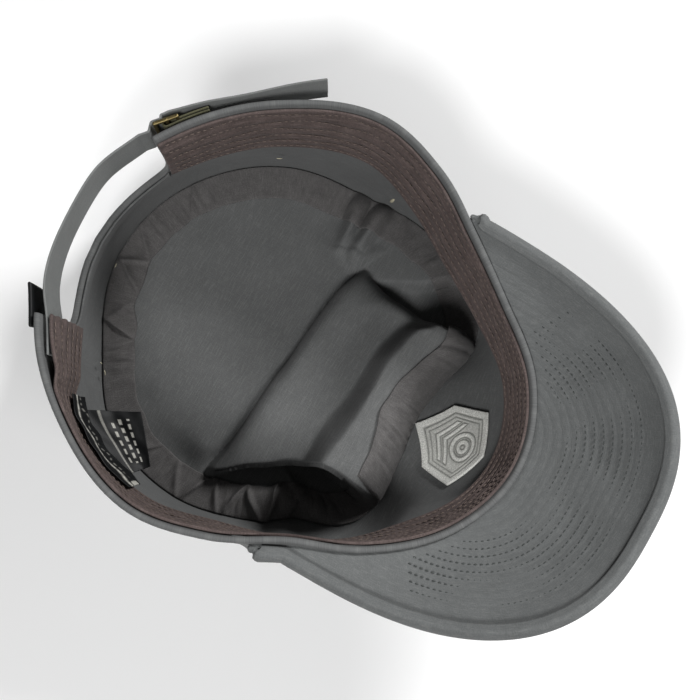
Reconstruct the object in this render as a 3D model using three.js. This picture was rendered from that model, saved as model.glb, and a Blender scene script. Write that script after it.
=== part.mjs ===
// Patrol cap lying upside down on its flat crown top, open side up.
// Millimetres, +Z up, front of the cap towards -Y. A bearing is an angle in degrees from the front,
// turning towards +X. Faces that touch the head or the inside are called inner.
import * as THREE from "three";

// Crown
const mouthLength = 196; // inside the rim, front to back
const mouthWidth = 180; // inside the rim, side to side
const topLength = 190; // top panel, front to back before its front is pushed in
const topWidth = 160; // top panel, side to side
const crownHeight = 90; // crown top to rim at the sides
const clothThickness = 1.4;
const hemThickness = 2.6; // turned cloth round the mouth
const hemWidth = 7;
const hemStep = 2; // below the hem, over which the cloth thins to one layer
const pieceGap = 0.3; // between pieces that are sewn together
const seamGap = 0.5; // between the mitred edges of the side and the top

// Gap at the back
const gapWidth = 80;
const gapDepth = 52;
const gapBearing = 181;
const gapPower = 5; // 2 is a half oval, more is squarer
const gapFan = 10; // degrees by which the side's grid spreads from the gap to the seam
const gapFanReach = 60;
const facingWidth = 9;
const facingThickness = 1;
const facingSetback = 0.6; // from the gap's edge
const facingBelowBand = 2; // below the sweatband's deep edge

// Tapes inside the crown
const sweatbandWidth = 30;
const sweatbandThickness = 1.2;
const sweatbandInset = 1.6; // below the rim
const sweatbandSetback = 0.4; // degrees of bearing from the gap's edges
const tapeWidth = 14.5;
const tapeThickness = 1;
const tapeSetback = 1.8; // from the seam

// Peak
const peakWidth = 149;
const peakLength = 102.3; // from its widest line to its front edge
const peakWidestAt = 45; // in front of the crown's middle
const peakShift = -0.9; // sideways, as the cap lies a little skewed
const peakPower = 2.5;
const peakThickness = 3.2;
const peakFirstTurn = -100; // degrees about the middle of its widest line
const peakLastTurn = 98;
const peakCornerWidth = 2.5;
const peakDrop = 2.2; // middle of the peak's inner edge below the rim
const peakSlopeMiddle = 0.75;
const peakSlopeEnd = 0.5;
const peakSag = 3; // hollow of the underside between rim and edge
const bindingWidth = 3;
const bindingThickness = 1;
const bindingShort = 10; // degrees by which it stops short of the peak's corners

// Adjusting strap and slide buckle
const strapWidth = 16;
const strapThickness = 1.2;
const strapBelowRim = 9; // middle of the strap below the rim
const strapLean = 5; // degrees outwards
const strapSewnLean = 9; // at its sewn end
const strapInserted = 9; // degrees of bearing sewn in behind the sweatband
const strapRoomSpare = 3; // degrees past its end at which the sweatband starts to close over it
const strapRoomFade = 6; // degrees over which it closes
const strapEdgeSpare = 0.5; // degrees inside the gap's edge where the sewn end begins
const slotSpare = 0.3; // between the strap's bends and the buckle's bars, along the strap
const buckleApproach = 2; // straight strap beyond each end of the buckle
const loopBearing = 151.8; // the loop's eye, which holds the buckle's far bar
const loopWidth = 14;
const loopPly = 1;
const loopLength = 17;
const loopBend = 4; // past the eye, over which the loop turns to follow the crown
const buckleLength = 10.5;
const buckleThickness = 1.5;
const buckleBar = 1.4;
const buckleMiddleBar = -0.3; // from the frame's middle, towards the end where the strap enters
const buckleClearance = 0.4;
const buckleTurn = 12; // degrees by which the end where the strap enters is turned outwards

// Labels and patch
const labelThickness = 1;
const wovenLabelHeight = 16;
const labelFrom = 223; // bearings of the woven label's ends
const labelTo = 251;
const labelOverlap = 12; // of the woven label over the sweatband
const labelLean = 1.5; // how much farther its lower edge stands off
const careFrom = 225; // bearings of the care label's sewn edge, on the crown side
const careTo = 245;
const careDepth = 0.56; // share of the way from the rim to the seam
const careSag = 1.5;
const patchWidth = 33;
const patchThickness = 1.2;
const patchGap = 0.7;
const patchBearing = 1;
const patchDepth = 0.74;
const tabFrom = 207.5; // bearings of the tab's ends
const tabTo = 199;
const tabGap = 1.3; // from the hem, clear of the corner of the gap
const tabFlare = 2.4; // how far its free end stands off
const tabHeight = 11;
const tabThickness = 1.8;
const tabDrop = 1; // below the rim

// How finely the sheets are divided
const sideSteps = 66;
const gapSteps = 18;
const topSteps = 76;
const peakSteps = 40;
const sewnSteps = 3;
const routeSteps = 9;
const weaveSteps = 18;
const loopSteps = 8;
const labelSteps = 8;

// Rows of a table as objects whose keys are its column names
function readRows(columns, ...rows) {
  return rows.map((row) => Object.fromEntries(columns.map((column, i) => [column, row[i]])));
}

// Crown side, a row for each bearing. rim, shoulder and waist are shares of the mouth's oval, at none, a
// third and two thirds of the way down. seam is a share of the top's oval. rimHeight and seamHeight are
// shares of crownHeight. standOff is how far the sweatband's deep edge stands from the cloth, as a share
// of its width.
const crownSections = readRows(
  ["bearing", "rim", "shoulder", "waist", "seam", "rimHeight", "seamHeight", "standOff"],
  [0, 0.99, 0.93, 0.81, 0.57, 0.74, 0.14, 0.04],
  [20, 0.94, 0.9, 0.83, 0.65, 0.77, 0.13, 0.06],
  [40, 0.84, 0.86, 0.87, 0.88, 0.87, 0.03, 0.16],
  [60, 0.83, 0.83, 0.88, 0.97, 0.97, 0, 0.15],
  [80, 0.91, 0.86, 0.88, 1, 1, 0, 0.12],
  [100, 0.99, 0.91, 0.91, 1, 1, 0, 0.02],
  [125, 0.97, 0.92, 0.94, 1.07, 1, 0, 0.02],
  [150, 0.965, 0.925, 0.99, 1.065, 1, 0, 0.02],
  [180, 0.99, 0.985, 1, 1.025, 1, 0, 0.02],
  [205, 1.02, 0.965, 0.975, 0.99, 1, 0, 0.02],
  [230, 1.005, 1.015, 0.99, 1.05, 1, 0, 0.02],
  [255, 0.995, 0.97, 0.93, 1.015, 1, 0, 0.02],
  [275, 0.91, 0.885, 0.875, 0.925, 1, 0, 0.04],
  [297, 0.83, 0.92, 0.92, 0.825, 0.97, 0, 0.24],
  [318, 0.885, 0.895, 0.9, 0.835, 0.88, 0.05, 0.1],
  [340, 0.96, 0.92, 0.84, 0.65, 0.78, 0.12, 0.05],
);

// Buckled front of the top panel, a row for each distance in front of its crease. forward is a share of
// topLength, height of crownHeight, left and right are where the raised cloth ends, shares of topWidth.
const creaseAt = 0.07; // middle of the crease behind the crown's middle, a share of topLength
const creaseSlope = -0.15;
const buckleSections = readRows(
  ["forward", "height", "left", "right"],
  [0, 0, -0.4, 0.36],
  [0.03, 0.075, -0.39, 0.35],
  [0.08, 0.13, -0.36, 0.33],
  [0.14, 0.14, -0.3, 0.29],
  [0.2, 0.12, -0.26, 0.27],
  [0.25, 0.17, -0.24, 0.27],
  [0.29, 0.3, -0.24, 0.28],
  [0.32, 0.27, -0.26, 0.3],
  [0.37, 0.12, -0.28, 0.33],
);
const buckleSoftness = 0.09; // share of topWidth over which the raised cloth falls to the floor

// Folds across the crown side, a row each: half width in degrees, depth shares, and how far the cloth moves
// outwards as a share of the sweatband's width.
const sideFolds = readRows(
  ["bearing", "half", "from", "to", "out"],
  [294, 5, 0.4, 1.1, -0.12],
  [286, 3, 0.45, 1.1, 0.1],
  [320, 5, 0.45, 1, -0.16],
  [92, 6, 0.3, 0.9, -0.08],
  [236, 7, 0.4, 1, -0.06],
  [48, 6, 0.4, 1, -0.1],
);

// Strap over the gap and its free end: how far along the stretch, bearing, and reach as a share of the
// mouth's oval
const strapRoute = readRows(
  ["along", "bearing", "reach"],
  [0, 200, 1.012],
  [0.25, 193, 1.018],
  [0.65, 180, 1.021],
  [1, 169, 1.042],
);
const tailRoute = readRows(
  ["along", "bearing", "reach"],
  [0, 143, 1.036],
  [0.3, 134, 1.025],
  [0.6, 126, 1.045],
  [1, 114, 1.1],
);

// Free corners of the care label: reach as a share of the mouth's oval, height of crownHeight
const careCorners = readRows(
  ["bearing", "reach", "height"],
  [230, 0.77, 0.4],
  [246.5, 0.86, 0.4],
);

const radians = THREE.MathUtils.degToRad;
const smoothstep = THREE.MathUtils.smoothstep;

// Value of one column of a table between its rows: a cubic whose slope at a row follows the two beside it.
// A table that goes round repeats after turn.
function readTable(table, key, column, place, turn = 0) {
  const last = table.length - 1;
  const row = (index) => {
    if (!turn) return table[Math.min(Math.max(index, 0), last)];
    const wrapped = ((index % table.length) + table.length) % table.length;
    const laps = (index - wrapped) / table.length;
    return { ...table[wrapped], [key]: table[wrapped][key] + laps * turn };
  };
  let at = place;
  if (turn) at = ((place % turn) + turn) % turn;
  let low = 0;
  while (low < last && table[low + 1][key] <= at) low += 1;
  if (!turn) low = Math.min(low, last - 1);
  const [before, first, second, after] = [row(low - 1), row(low), row(low + 1), row(low + 2)];
  const span = second[key] - first[key];
  const share = Math.min(Math.max((at - first[key]) / span, 0), 1);
  const slopeAt = (a, b) => {
    if (b[key] === a[key]) return 0;
    return ((b[column] - a[column]) / (b[key] - a[key])) * span;
  };
  const slopeFirst = slopeAt(before, second);
  const slopeSecond = slopeAt(first, after);
  const rise = second[column] - first[column];
  const squared = share * share;
  const cubed = squared * share;
  return first[column] + slopeFirst * (cubed - 2 * squared + share)
    + rise * (3 * squared - 2 * cubed) + slopeSecond * (cubed - squared);
}

// Distance from the middle to an oval's edge
function ovalReach(length, width, bearing) {
  const along = Math.cos(radians(bearing)) / (length / 2);
  const across = Math.sin(radians(bearing)) / (width / 2);
  return 1 / Math.hypot(along, across);
}

function polar(bearing, reach, height) {
  const angle = radians(bearing);
  return new THREE.Vector3(reach * Math.sin(angle), -reach * Math.cos(angle), height);
}

function planReach(point) {
  return Math.hypot(point.x, point.y);
}

// Cubic through four values at none, one third, two thirds and all of the way
function throughFour(share, first, second, third, fourth) {
  const one = share - 1 / 3;
  const two = share - 2 / 3;
  const all = share - 1;
  return -4.5 * one * two * all * first + 13.5 * share * two * all * second
    - 13.5 * share * one * all * third + 4.5 * share * one * two * fourth;
}

// Inner face of the crown side, depth 0 at the rim and 1 at the seam
function sidePoint(bearing, depth) {
  const section = (column) => readTable(crownSections, "bearing", column, bearing, 360);
  const mouth = ovalReach(mouthLength, mouthWidth, bearing);
  const top = ovalReach(topLength, topWidth, bearing);
  const smooth = throughFour(
    depth,
    section("rim") * mouth,
    section("shoulder") * mouth,
    section("waist") * mouth,
    section("seam") * top,
  );
  const folds = sideFolds.reduce((sum, fold) => {
    const off = (((bearing - fold.bearing + 540) % 360) - 180) / fold.half;
    const middle = (fold.from + fold.to) / 2;
    const along = Math.min(Math.abs(depth - middle) / ((fold.to - fold.from) / 2), 1);
    return sum + fold.out * sweatbandWidth * Math.exp(-off * off) * (1 - along * along) ** 2;
  }, 0);
  const rimHeight = section("rimHeight") * crownHeight;
  const seamHeight = clothThickness + Math.max(section("seamHeight"), 0) * crownHeight;
  return polar(bearing, smooth + folds, rimHeight + (seamHeight - rimHeight) * depth);
}

// Direction out of the crown side at a point of it
function sideNormal(bearing, depth) {
  const step = 0.01;
  const along = sidePoint(bearing + 50 * step, depth).sub(sidePoint(bearing - 50 * step, depth));
  const down = sidePoint(bearing, depth + step).sub(sidePoint(bearing, depth - step));
  return down.cross(along).normalize();
}

// Height of the top panel's inner face over a point of the floor
const topMiddle = new THREE.Vector2(0, creaseAt * topLength);
function topHeight(x, y) {
  const bearing = THREE.MathUtils.radToDeg(Math.atan2(x - topMiddle.x, -(y - topMiddle.y)));
  const edge = topEdge(bearing);
  const share = Math.min(Math.hypot(x - topMiddle.x, y - topMiddle.y) / edge.reach, 1);
  const forward = (topMiddle.y + creaseSlope * x - y) / topLength;
  if (forward <= 0) return clothThickness + edge.lift * share ** 6;
  const section = (column) => readTable(buckleSections, "forward", column, forward);
  const within = (inside) => smoothstep(inside, -buckleSoftness, buckleSoftness);
  const left = within(x / topWidth - section("left"));
  const right = within(section("right") - x / topWidth);
  const raised = section("height") * crownHeight * left * right;
  const rim = share ** 6;
  return clothThickness + raised * (1 - rim) + edge.lift * rim;
}

// Seam point of the crown side that lies in a given direction from the top panel's middle
function topEdge(direction) {
  let bearing = direction;
  let point;
  for (let pass = 0; pass < 12; pass += 1) {
    point = sidePoint(bearing, 1);
    const found = THREE.MathUtils.radToDeg(Math.atan2(point.x - topMiddle.x, -(point.y - topMiddle.y)));
    bearing += ((direction - found + 540) % 360) - 180;
  }
  return {
    bearing,
    reach: Math.hypot(point.x - topMiddle.x, point.y - topMiddle.y),
    lift: point.z - clothThickness,
  };
}

// Point of the top panel's inner face in a direction from its middle, at a share of the way to the seam
function topPoint(direction, share) {
  const away = polar(direction, topEdge(direction).reach * share, 0);
  const x = topMiddle.x + away.x;
  const y = topMiddle.y + away.y;
  return new THREE.Vector3(x, y, topHeight(x, y));
}

function topNormal(x, y) {
  const step = 0.5;
  const slopeX = (topHeight(x + step, y) - topHeight(x - step, y)) / (2 * step);
  const slopeY = (topHeight(x, y + step) - topHeight(x, y - step)) / (2 * step);
  return new THREE.Vector3(-slopeX, -slopeY, 1).normalize();
}

// Closed solid between two faces given as grids of points with the same layout. A looped grid joins its
// last line of points to its first. Triangles that shrink to nothing, as at a pole, are left out.
function thickSheet(inner, outer, looped = false) {
  const lines = inner.length;
  const across = inner[0].length;
  const positions = [];
  const same = (a, b) => a.distanceToSquared(b) < 1e-10;
  const triangle = (a, b, c) => {
    if (same(a, b) || same(b, c) || same(c, a)) return;
    for (const point of [a, b, c]) positions.push(point.x, point.y, point.z);
  };
  const quad = (a, b, c, d) => {
    triangle(a, b, c);
    triangle(a, c, d);
  };
  const spans = looped ? lines : lines - 1;
  for (let i = 0; i < spans; i += 1) {
    const next = (i + 1) % lines;
    for (let j = 0; j + 1 < across; j += 1) {
      quad(inner[i][j], inner[next][j], inner[next][j + 1], inner[i][j + 1]);
      quad(outer[i][j + 1], outer[next][j + 1], outer[next][j], outer[i][j]);
    }
    quad(inner[next][0], inner[i][0], outer[i][0], outer[next][0]);
    quad(inner[i][across - 1], inner[next][across - 1], outer[next][across - 1], outer[i][across - 1]);
  }
  if (!looped) {
    const end = lines - 1;
    for (let j = 0; j + 1 < across; j += 1) {
      quad(inner[0][j], inner[0][j + 1], outer[0][j + 1], outer[0][j]);
      quad(inner[end][j + 1], inner[end][j], outer[end][j], outer[end][j + 1]);
    }
  }
  turnOutwards(positions);
  const geometry = new THREE.BufferGeometry();
  geometry.setAttribute("position", new THREE.Float32BufferAttribute(positions, 3));
  geometry.computeVertexNormals();
  return geometry;
}

// Swaps two corners of every triangle if together they enclose a negative volume
function turnOutwards(positions) {
  const [a, b, c] = [new THREE.Vector3(), new THREE.Vector3(), new THREE.Vector3()];
  let volume = 0;
  for (let i = 0; i < positions.length; i += 9) {
    a.fromArray(positions, i);
    b.fromArray(positions, i + 3);
    c.fromArray(positions, i + 6);
    volume += a.dot(b.cross(c));
  }
  if (volume > 0) return;
  for (let i = 0; i < positions.length; i += 9) {
    const second = positions.slice(i + 3, i + 6);
    for (let k = 0; k < 3; k += 1) {
      positions[i + 3 + k] = positions[i + 6 + k];
      positions[i + 6 + k] = second[k];
    }
  }
}

// A sheet laid on a surface: both faces lie along the normals, at the given distances from it
function sheetOn(points, normals, nearFace, farFace, looped) {
  const shifted = (distance) => points.map((line, i) => line.map(
    (point, j) => point.clone().addScaledVector(normals[i][j], distance),
  ));
  return thickSheet(shifted(nearFace), shifted(farFace), looped);
}

const cap = new THREE.Group();
function addPiece(name, geometry, colour, roughness = 0.95, metalness = 0, parent = cap) {
  const material = new THREE.MeshStandardMaterial({ color: colour, roughness, metalness });
  const mesh = new THREE.Mesh(geometry, material);
  mesh.name = name;
  parent.add(mesh);
  return mesh;
}

const clothColour = "#5d6161";
const peakColour = "#686b6b";
const sweatbandColour = "#54484a";
const tapeColour = "#5b5557";
const labelColour = "#14191b";
const loopColour = "#55543f";
const patchColour = "#b8b9b4";
const brassColour = "#8a7a3c";

const gapReach = planReach(sidePoint(gapBearing, 0));
const gapHalfAngle = THREE.MathUtils.radToDeg(Math.asin(gapWidth / 2 / gapReach));

// Where each line of the crown side's grid starts and ends. Lines start on the rim, or on the gap's
// squarish oval edge, and fan out to the seam.
function sideLines() {
  const lines = [];
  for (let i = 0; i <= sideSteps; i += 1) {
    const fromGap = gapHalfAngle + (360 - 2 * gapHalfAngle) * (i / sideSteps);
    const nearer = Math.min(fromGap, 360 - fromGap);
    const spread = gapFan * (1 - smoothstep(nearer, gapHalfAngle, gapFanReach));
    const way = fromGap < 180 ? 1 : -1;
    const bearing = gapBearing + fromGap;
    lines.push({ bearing, depth: 0, seamBearing: bearing + way * spread });
  }
  for (let i = 1; i < gapSteps; i += 1) {
    const angle = (Math.PI * i) / gapSteps;
    const across = Math.sign(Math.cos(angle)) * Math.abs(Math.cos(angle)) ** (2 / gapPower);
    const down = Math.sin(angle) ** (2 / gapPower);
    lines.push({
      bearing: gapBearing + 360 - gapHalfAngle * across,
      depth: (gapDepth / crownHeight) * down,
      seamBearing: gapBearing + 360 - (gapHalfAngle + gapFan) * (1 - (2 * i) / gapSteps),
    });
  }
  return lines;
}

function alongLine(line, share) {
  return {
    bearing: line.bearing + (line.seamBearing - line.bearing) * share,
    depth: line.depth + (1 - line.depth) * share,
  };
}

// Step from the inner to the outer face where the crown side and the top panel meet in a mitre
function mitreStep(bearing) {
  const corner = sidePoint(bearing, 1);
  const inward = corner.clone().lerp(new THREE.Vector3(topMiddle.x, topMiddle.y, corner.z), 0.02);
  const up = topNormal(inward.x, inward.y);
  const inwards = sideNormal(bearing, 0.99).negate();
  const sum = up.clone().add(inwards);
  return sum.multiplyScalar(-clothThickness / (1 + up.dot(inwards)));
}

function crownSide() {
  const hemShare = hemWidth / crownHeight;
  const below = hemShare + hemStep / crownHeight;
  const shares = [0, hemShare, below, 0.2, 0.36, 0.52, 0.68, 0.84];
  const inner = [];
  const outer = [];
  for (const line of sideLines()) {
    const innerLine = [];
    const outerLine = [];
    for (const share of shares) {
      const { bearing, depth } = alongLine(line, share);
      const point = sidePoint(bearing, depth);
      const thickness = share <= hemShare ? hemThickness : clothThickness;
      innerLine.push(point);
      outerLine.push(point.clone().addScaledVector(sideNormal(bearing, depth), thickness));
    }
    const end = sidePoint(line.seamBearing, 1);
    const above = sidePoint(line.seamBearing, 0.9);
    end.lerp(above, seamGap / end.distanceTo(above));
    innerLine.push(end);
    outerLine.push(end.clone().add(mitreStep(line.seamBearing)));
    inner.push(innerLine);
    outer.push(outerLine);
  }
  return thickSheet(inner, outer, true);
}

// Shares of the way to the seam at which the top panel and its tape have their rings of points
function topShares(direction) {
  const { reach } = topEdge(direction);
  const tapeEdge = 1 - tapeWidth / reach;
  const inside = [0, 0.2, 0.38, 0.54, 0.68, 0.8, 0.91].map((share) => share * tapeEdge);
  return [...inside, tapeEdge, 1 - (tapeWidth + tapeSetback) / 2 / reach, 1 - tapeSetback / reach];
}

function topDirections() {
  return Array.from({ length: topSteps }, (_, i) => (360 * i) / topSteps);
}

function crownTop() {
  const inner = [];
  const outer = [];
  for (const direction of topDirections()) {
    const points = topShares(direction).map((share) => topPoint(direction, share));
    const normals = points.map((point) => topNormal(point.x, point.y));
    const edge = topPoint(direction, 1);
    const step = mitreStep(topEdge(direction).bearing);
    inner.push([...points, edge]);
    outer.push([
      ...points.map((point, j) => point.clone().addScaledVector(normals[j], -clothThickness)),
      edge.clone().add(step),
    ]);
  }
  return thickSheet(inner, outer, true);
}

function seamTape() {
  const points = topDirections().map(
    (direction) => topShares(direction).slice(-3).map((share) => topPoint(direction, share)),
  );
  const normals = points.map((line) => line.map((point) => topNormal(point.x, point.y)));
  return sheetOn(points, normals, pieceGap, pieceGap + tapeThickness, true);
}

// Distance from the crown side's inner face to the sweatband. It makes room for the strap's sewn end and
// lets the deep edge stand off.
function sweatbandStand(bearing, share) {
  const standOff = Math.max(readTable(crownSections, "bearing", "standOff", bearing, 360), 0);
  const fromGapEnd = bearing - (gapBearing + gapHalfAngle);
  const past = strapInserted + strapRoomSpare;
  const room = (strapThickness + 5 * pieceGap) * (1 - smoothstep(fromGapEnd, past, past + strapRoomFade));
  return pieceGap + room + standOff * sweatbandWidth * share ** 1.5;
}

function sweatband() {
  const points = [];
  const normals = [];
  const fromGap = gapHalfAngle + sweatbandSetback;
  for (let i = 0; i <= sideSteps; i += 1) {
    const bearing = gapBearing + fromGap + (360 - 2 * fromGap) * (i / sideSteps);
    const line = [];
    const lineNormals = [];
    for (let j = 0; j <= 3; j += 1) {
      const share = j / 3;
      const depth = (sweatbandInset + sweatbandWidth * share) / crownHeight;
      const normal = sideNormal(bearing, depth).negate();
      line.push(sidePoint(bearing, depth).addScaledVector(normal, sweatbandStand(bearing, share)));
      lineNormals.push(normal);
    }
    points.push(line);
    normals.push(lineNormals);
  }
  return sheetOn(points, normals, 0, sweatbandThickness, false);
}

// Strip of cloth sewn inside the gap's edge, below the sweatband's ends
function gapFacing() {
  const highest = (sweatbandInset + sweatbandWidth + facingBelowBand) / crownHeight;
  const lines = sideLines().slice(sideSteps + 1).filter((line) => line.depth > highest);
  const points = [];
  const normals = [];
  for (const line of lines) {
    const length = sidePoint(line.bearing, line.depth).distanceTo(sidePoint(line.seamBearing, 1));
    const widths = [facingSetback, (facingSetback + facingWidth) / 2, facingWidth];
    const places = widths.map((width) => alongLine(line, width / length));
    points.push(places.map((place) => sidePoint(place.bearing, place.depth)));
    normals.push(places.map((place) => sideNormal(place.bearing, place.depth).negate()));
  }
  return sheetOn(points, normals, pieceGap, pieceGap + facingThickness, false);
}

// Middle surface of the peak: rays from the middle of its widest line, turned a given angle from the
// front, run from the rim, outward 0, to the edge, outward 1
const peakMiddle = new THREE.Vector2(peakShift, -peakWidestAt);
function peakPoint(turn, outward) {
  const start = peakStart(turn);
  const wide = Math.abs(Math.sin(radians(turn))) / (peakWidth / 2);
  const long = Math.abs(Math.cos(radians(turn))) / peakLength;
  const reach = (wide ** peakPower + long ** peakPower) ** (-1 / peakPower);
  const rimReach = Math.hypot(start.x - peakMiddle.x, start.y - peakMiddle.y);
  const run = Math.max(reach - rimReach, peakCornerWidth);
  const away = polar(turn, rimReach + run * outward, 0);
  const forward = Math.cos(radians(turn)) ** 2;
  const slope = peakSlopeEnd + (peakSlopeMiddle - peakSlopeEnd) * forward;
  const sag = 4 * peakSag * outward * (1 - outward) * forward;
  const height = start.z + slope * run * outward - sag;
  return new THREE.Vector3(peakMiddle.x + away.x, peakMiddle.y + away.y, height);
}

// Where a ray of the peak leaves the crown's hem
function peakStart(turn) {
  let bearing = turn * 0.7;
  let start;
  for (let pass = 0; pass < 14; pass += 1) {
    const out = sideNormal(bearing, 0).setZ(0).normalize();
    start = sidePoint(bearing, 0).addScaledVector(out, hemThickness + pieceGap + peakThickness / 2);
    const found = THREE.MathUtils.radToDeg(Math.atan2(start.x - peakMiddle.x, -(start.y - peakMiddle.y)));
    bearing += (turn - found) * 0.6;
  }
  start.z -= peakDrop;
  return start;
}

function peakNormal(turn, outward) {
  const sideways = peakPoint(turn + 0.5, outward).sub(peakPoint(turn - 0.5, outward));
  const out = peakPoint(turn, outward + 0.01).sub(peakPoint(turn, outward - 0.01));
  const normal = sideways.cross(out).normalize();
  return normal.z < 0 ? normal.negate() : normal;
}

function peak() {
  const points = [];
  const normals = [];
  const shares = [0, 0.15, 0.32, 0.5, 0.68, 0.85, 1];
  for (let i = 0; i <= peakSteps; i += 1) {
    const turn = peakFirstTurn + ((peakLastTurn - peakFirstTurn) * i) / peakSteps;
    points.push(shares.map((share) => peakPoint(turn, share)));
    normals.push(shares.map((share) => peakNormal(turn, share)));
  }
  return sheetOn(points, normals, -peakThickness / 2, peakThickness / 2, false);
}

// Folded strip round the peak's edge: a channel whose two legs lie on the peak's faces
function peakBinding() {
  const near = peakThickness / 2 + pieceGap;
  const far = near + bindingThickness;
  const tip = pieceGap + bindingThickness;
  const channel = (end, leg) => [[-bindingWidth, -leg], [end, -leg], [end, leg], [-bindingWidth, leg]];
  const innerProfile = channel(pieceGap, near);
  const outerProfile = channel(tip, far);
  const inner = [];
  const outer = [];
  const first = peakFirstTurn + bindingShort;
  const last = peakLastTurn - bindingShort;
  for (let i = 0; i <= peakSteps; i += 1) {
    const turn = first + ((last - first) * i) / peakSteps;
    const edge = peakPoint(turn, 1);
    const normal = peakNormal(turn, 1);
    const sideways = peakPoint(turn + 0.5, 1).sub(peakPoint(turn - 0.5, 1));
    const out = sideways.cross(normal).normalize();
    if (out.y * edge.y + out.x * edge.x < 0) out.negate();
    const corner = ([outwards, up]) => edge.clone()
      .addScaledVector(out, outwards).addScaledVector(normal, up);
    inner.push(innerProfile.map(corner));
    outer.push(outerProfile.map(corner));
  }
  return thickSheet(inner, outer, false);
}

const loopRadius = buckleBar * Math.SQRT1_2 + buckleClearance / 2 + loopPly;
const loopBar = -(buckleLength - buckleBar) / 2; // the buckle's far bar, along the strap from its middle
const strapHeight = crownHeight - strapBelowRim;

function leanedAxes(bearing) {
  const sewn = smoothstep(bearing, gapBearing, gapBearing + gapHalfAngle);
  const lean = radians(strapLean + (strapSewnLean - strapLean) * sewn);
  const out = polar(bearing, 1, 0);
  const up = out.clone().multiplyScalar(Math.sin(lean));
  up.z = Math.cos(lean);
  const along = up.clone().cross(out.clone().addScaledVector(up, -out.dot(up)).normalize());
  return { along, up, out: along.clone().cross(up) };
}

// Distance of the loop's middle from the crown's middle, lying on the hem
function loopReach(bearing) {
  return planReach(sidePoint(bearing, 0)) + hemThickness + pieceGap + loopRadius;
}

// The buckle's own axes: along runs back along the strap to where it enters, up the strap's width, out
// away from the crown
function buckleAxes() {
  const { along, up, out } = leanedAxes(loopBearing);
  for (const axis of [along, out]) axis.applyAxisAngle(up, -radians(buckleTurn));
  return { along, up, out };
}

// A point beside the buckle, given along the strap from the buckle's middle and outwards. Past the loop's
// eye it is bent round the crown.
function besideBuckle(along, outwards) {
  const axes = buckleAxes();
  const past = loopBar - along;
  if (past <= 0) {
    return polar(loopBearing, loopReach(loopBearing), strapHeight)
      .addScaledVector(axes.along, -past).addScaledVector(axes.out, outwards);
  }
  const bearing = loopBearing - THREE.MathUtils.radToDeg(past / loopReach(loopBearing));
  const out = axes.out.lerp(leanedAxes(bearing).out, smoothstep(past, 0, loopBend)).normalize();
  return polar(bearing, loopReach(bearing), strapHeight).addScaledVector(out, outwards);
}

// Middle line of the strap: its sewn end, the arc over the gap, the way through the buckle, the free end
function strapLine() {
  const line = [];
  const gapEnd = gapBearing + gapHalfAngle;
  const sewnDepth = strapBelowRim / crownHeight;
  for (let i = 0; i <= sewnSteps; i += 1) {
    const bearing = gapEnd + strapInserted + (strapEdgeSpare - strapInserted) * (i / sewnSteps);
    const wall = planReach(sidePoint(bearing, sewnDepth));
    line.push(polar(bearing, wall - 2 * pieceGap - strapThickness / 2, strapHeight));
  }
  const follow = (route) => {
    for (let i = 0; i <= routeSteps; i += 1) {
      const along = i / routeSteps;
      const bearing = readTable(route, "along", "bearing", along);
      const reach = readTable(route, "along", "reach", along) * ovalReach(mouthLength, mouthWidth, bearing);
      line.push(polar(bearing, reach, strapHeight));
    }
  };
  follow(strapRoute);
  const over = buckleThickness / 2 + buckleClearance + strapThickness / 2;
  const overLoop = loopRadius + buckleClearance + strapThickness / 2;
  const firstBar = buckleLength / 2 - buckleBar - slotSpare;
  const middleBar = buckleMiddleBar + buckleBar / 2 + slotSpare;
  const pastMiddleBar = middleBar - 2 * (buckleBar + slotSpare);
  const reach = buckleLength / 2 + buckleApproach;
  for (let i = 0; i <= weaveSteps; i += 1) {
    const place = reach - (2 * reach * i) / weaveSteps;
    const rise = 1 - smoothstep(place, middleBar, firstBar);
    const lift = 1 - smoothstep(place, loopBar + loopRadius / 2, pastMiddleBar);
    line.push(besideBuckle(place, over * (2 * rise - 1) + (overLoop - over) * lift));
  }
  follow(tailRoute);
  return line;
}

// A flat band that stands on edge along a line and leans outwards
function standingBand(line, width, thickness) {
  const points = [];
  const normals = [];
  line.forEach((middle, i) => {
    const [before, after] = [line[Math.max(i - 1, 0)], line[Math.min(i + 1, line.length - 1)]];
    const tangent = after.clone().sub(before).normalize();
    const bearing = (THREE.MathUtils.radToDeg(Math.atan2(middle.x, -middle.y)) + 360) % 360;
    const { up } = leanedAxes(bearing);
    const normal = up.clone().cross(tangent).normalize();
    points.push([-width / 2, width / 2].map((height) => middle.clone().addScaledVector(up, height)));
    normals.push([normal, normal]);
  });
  return sheetOn(points, normals, -thickness / 2, thickness / 2, false);
}

function rectangle(path, left, right, bottom, top) {
  path.moveTo(left, bottom);
  path.lineTo(right, bottom);
  path.lineTo(right, top);
  path.lineTo(left, top);
  return path;
}

// Slide buckle: a frame with a middle bar, the strap's way in at +X
function buckleFrame() {
  const half = buckleLength / 2;
  const inside = strapWidth / 2 + buckleClearance;
  const shape = rectangle(new THREE.Shape(), -half, half, -inside - buckleBar, inside + buckleBar);
  const [far, near] = [buckleMiddleBar - buckleBar / 2, buckleMiddleBar + buckleBar / 2];
  shape.holes.push(rectangle(new THREE.Path(), near, half - buckleBar, -inside, inside));
  const loopInside = loopWidth / 2 + buckleClearance;
  shape.holes.push(rectangle(new THREE.Path(), -half + buckleBar, far, -loopInside, loopInside));
  const geometry = new THREE.ExtrudeGeometry(shape, { depth: buckleThickness, bevelEnabled: false });
  return geometry.translate(0, 0, -buckleThickness / 2);
}

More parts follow.
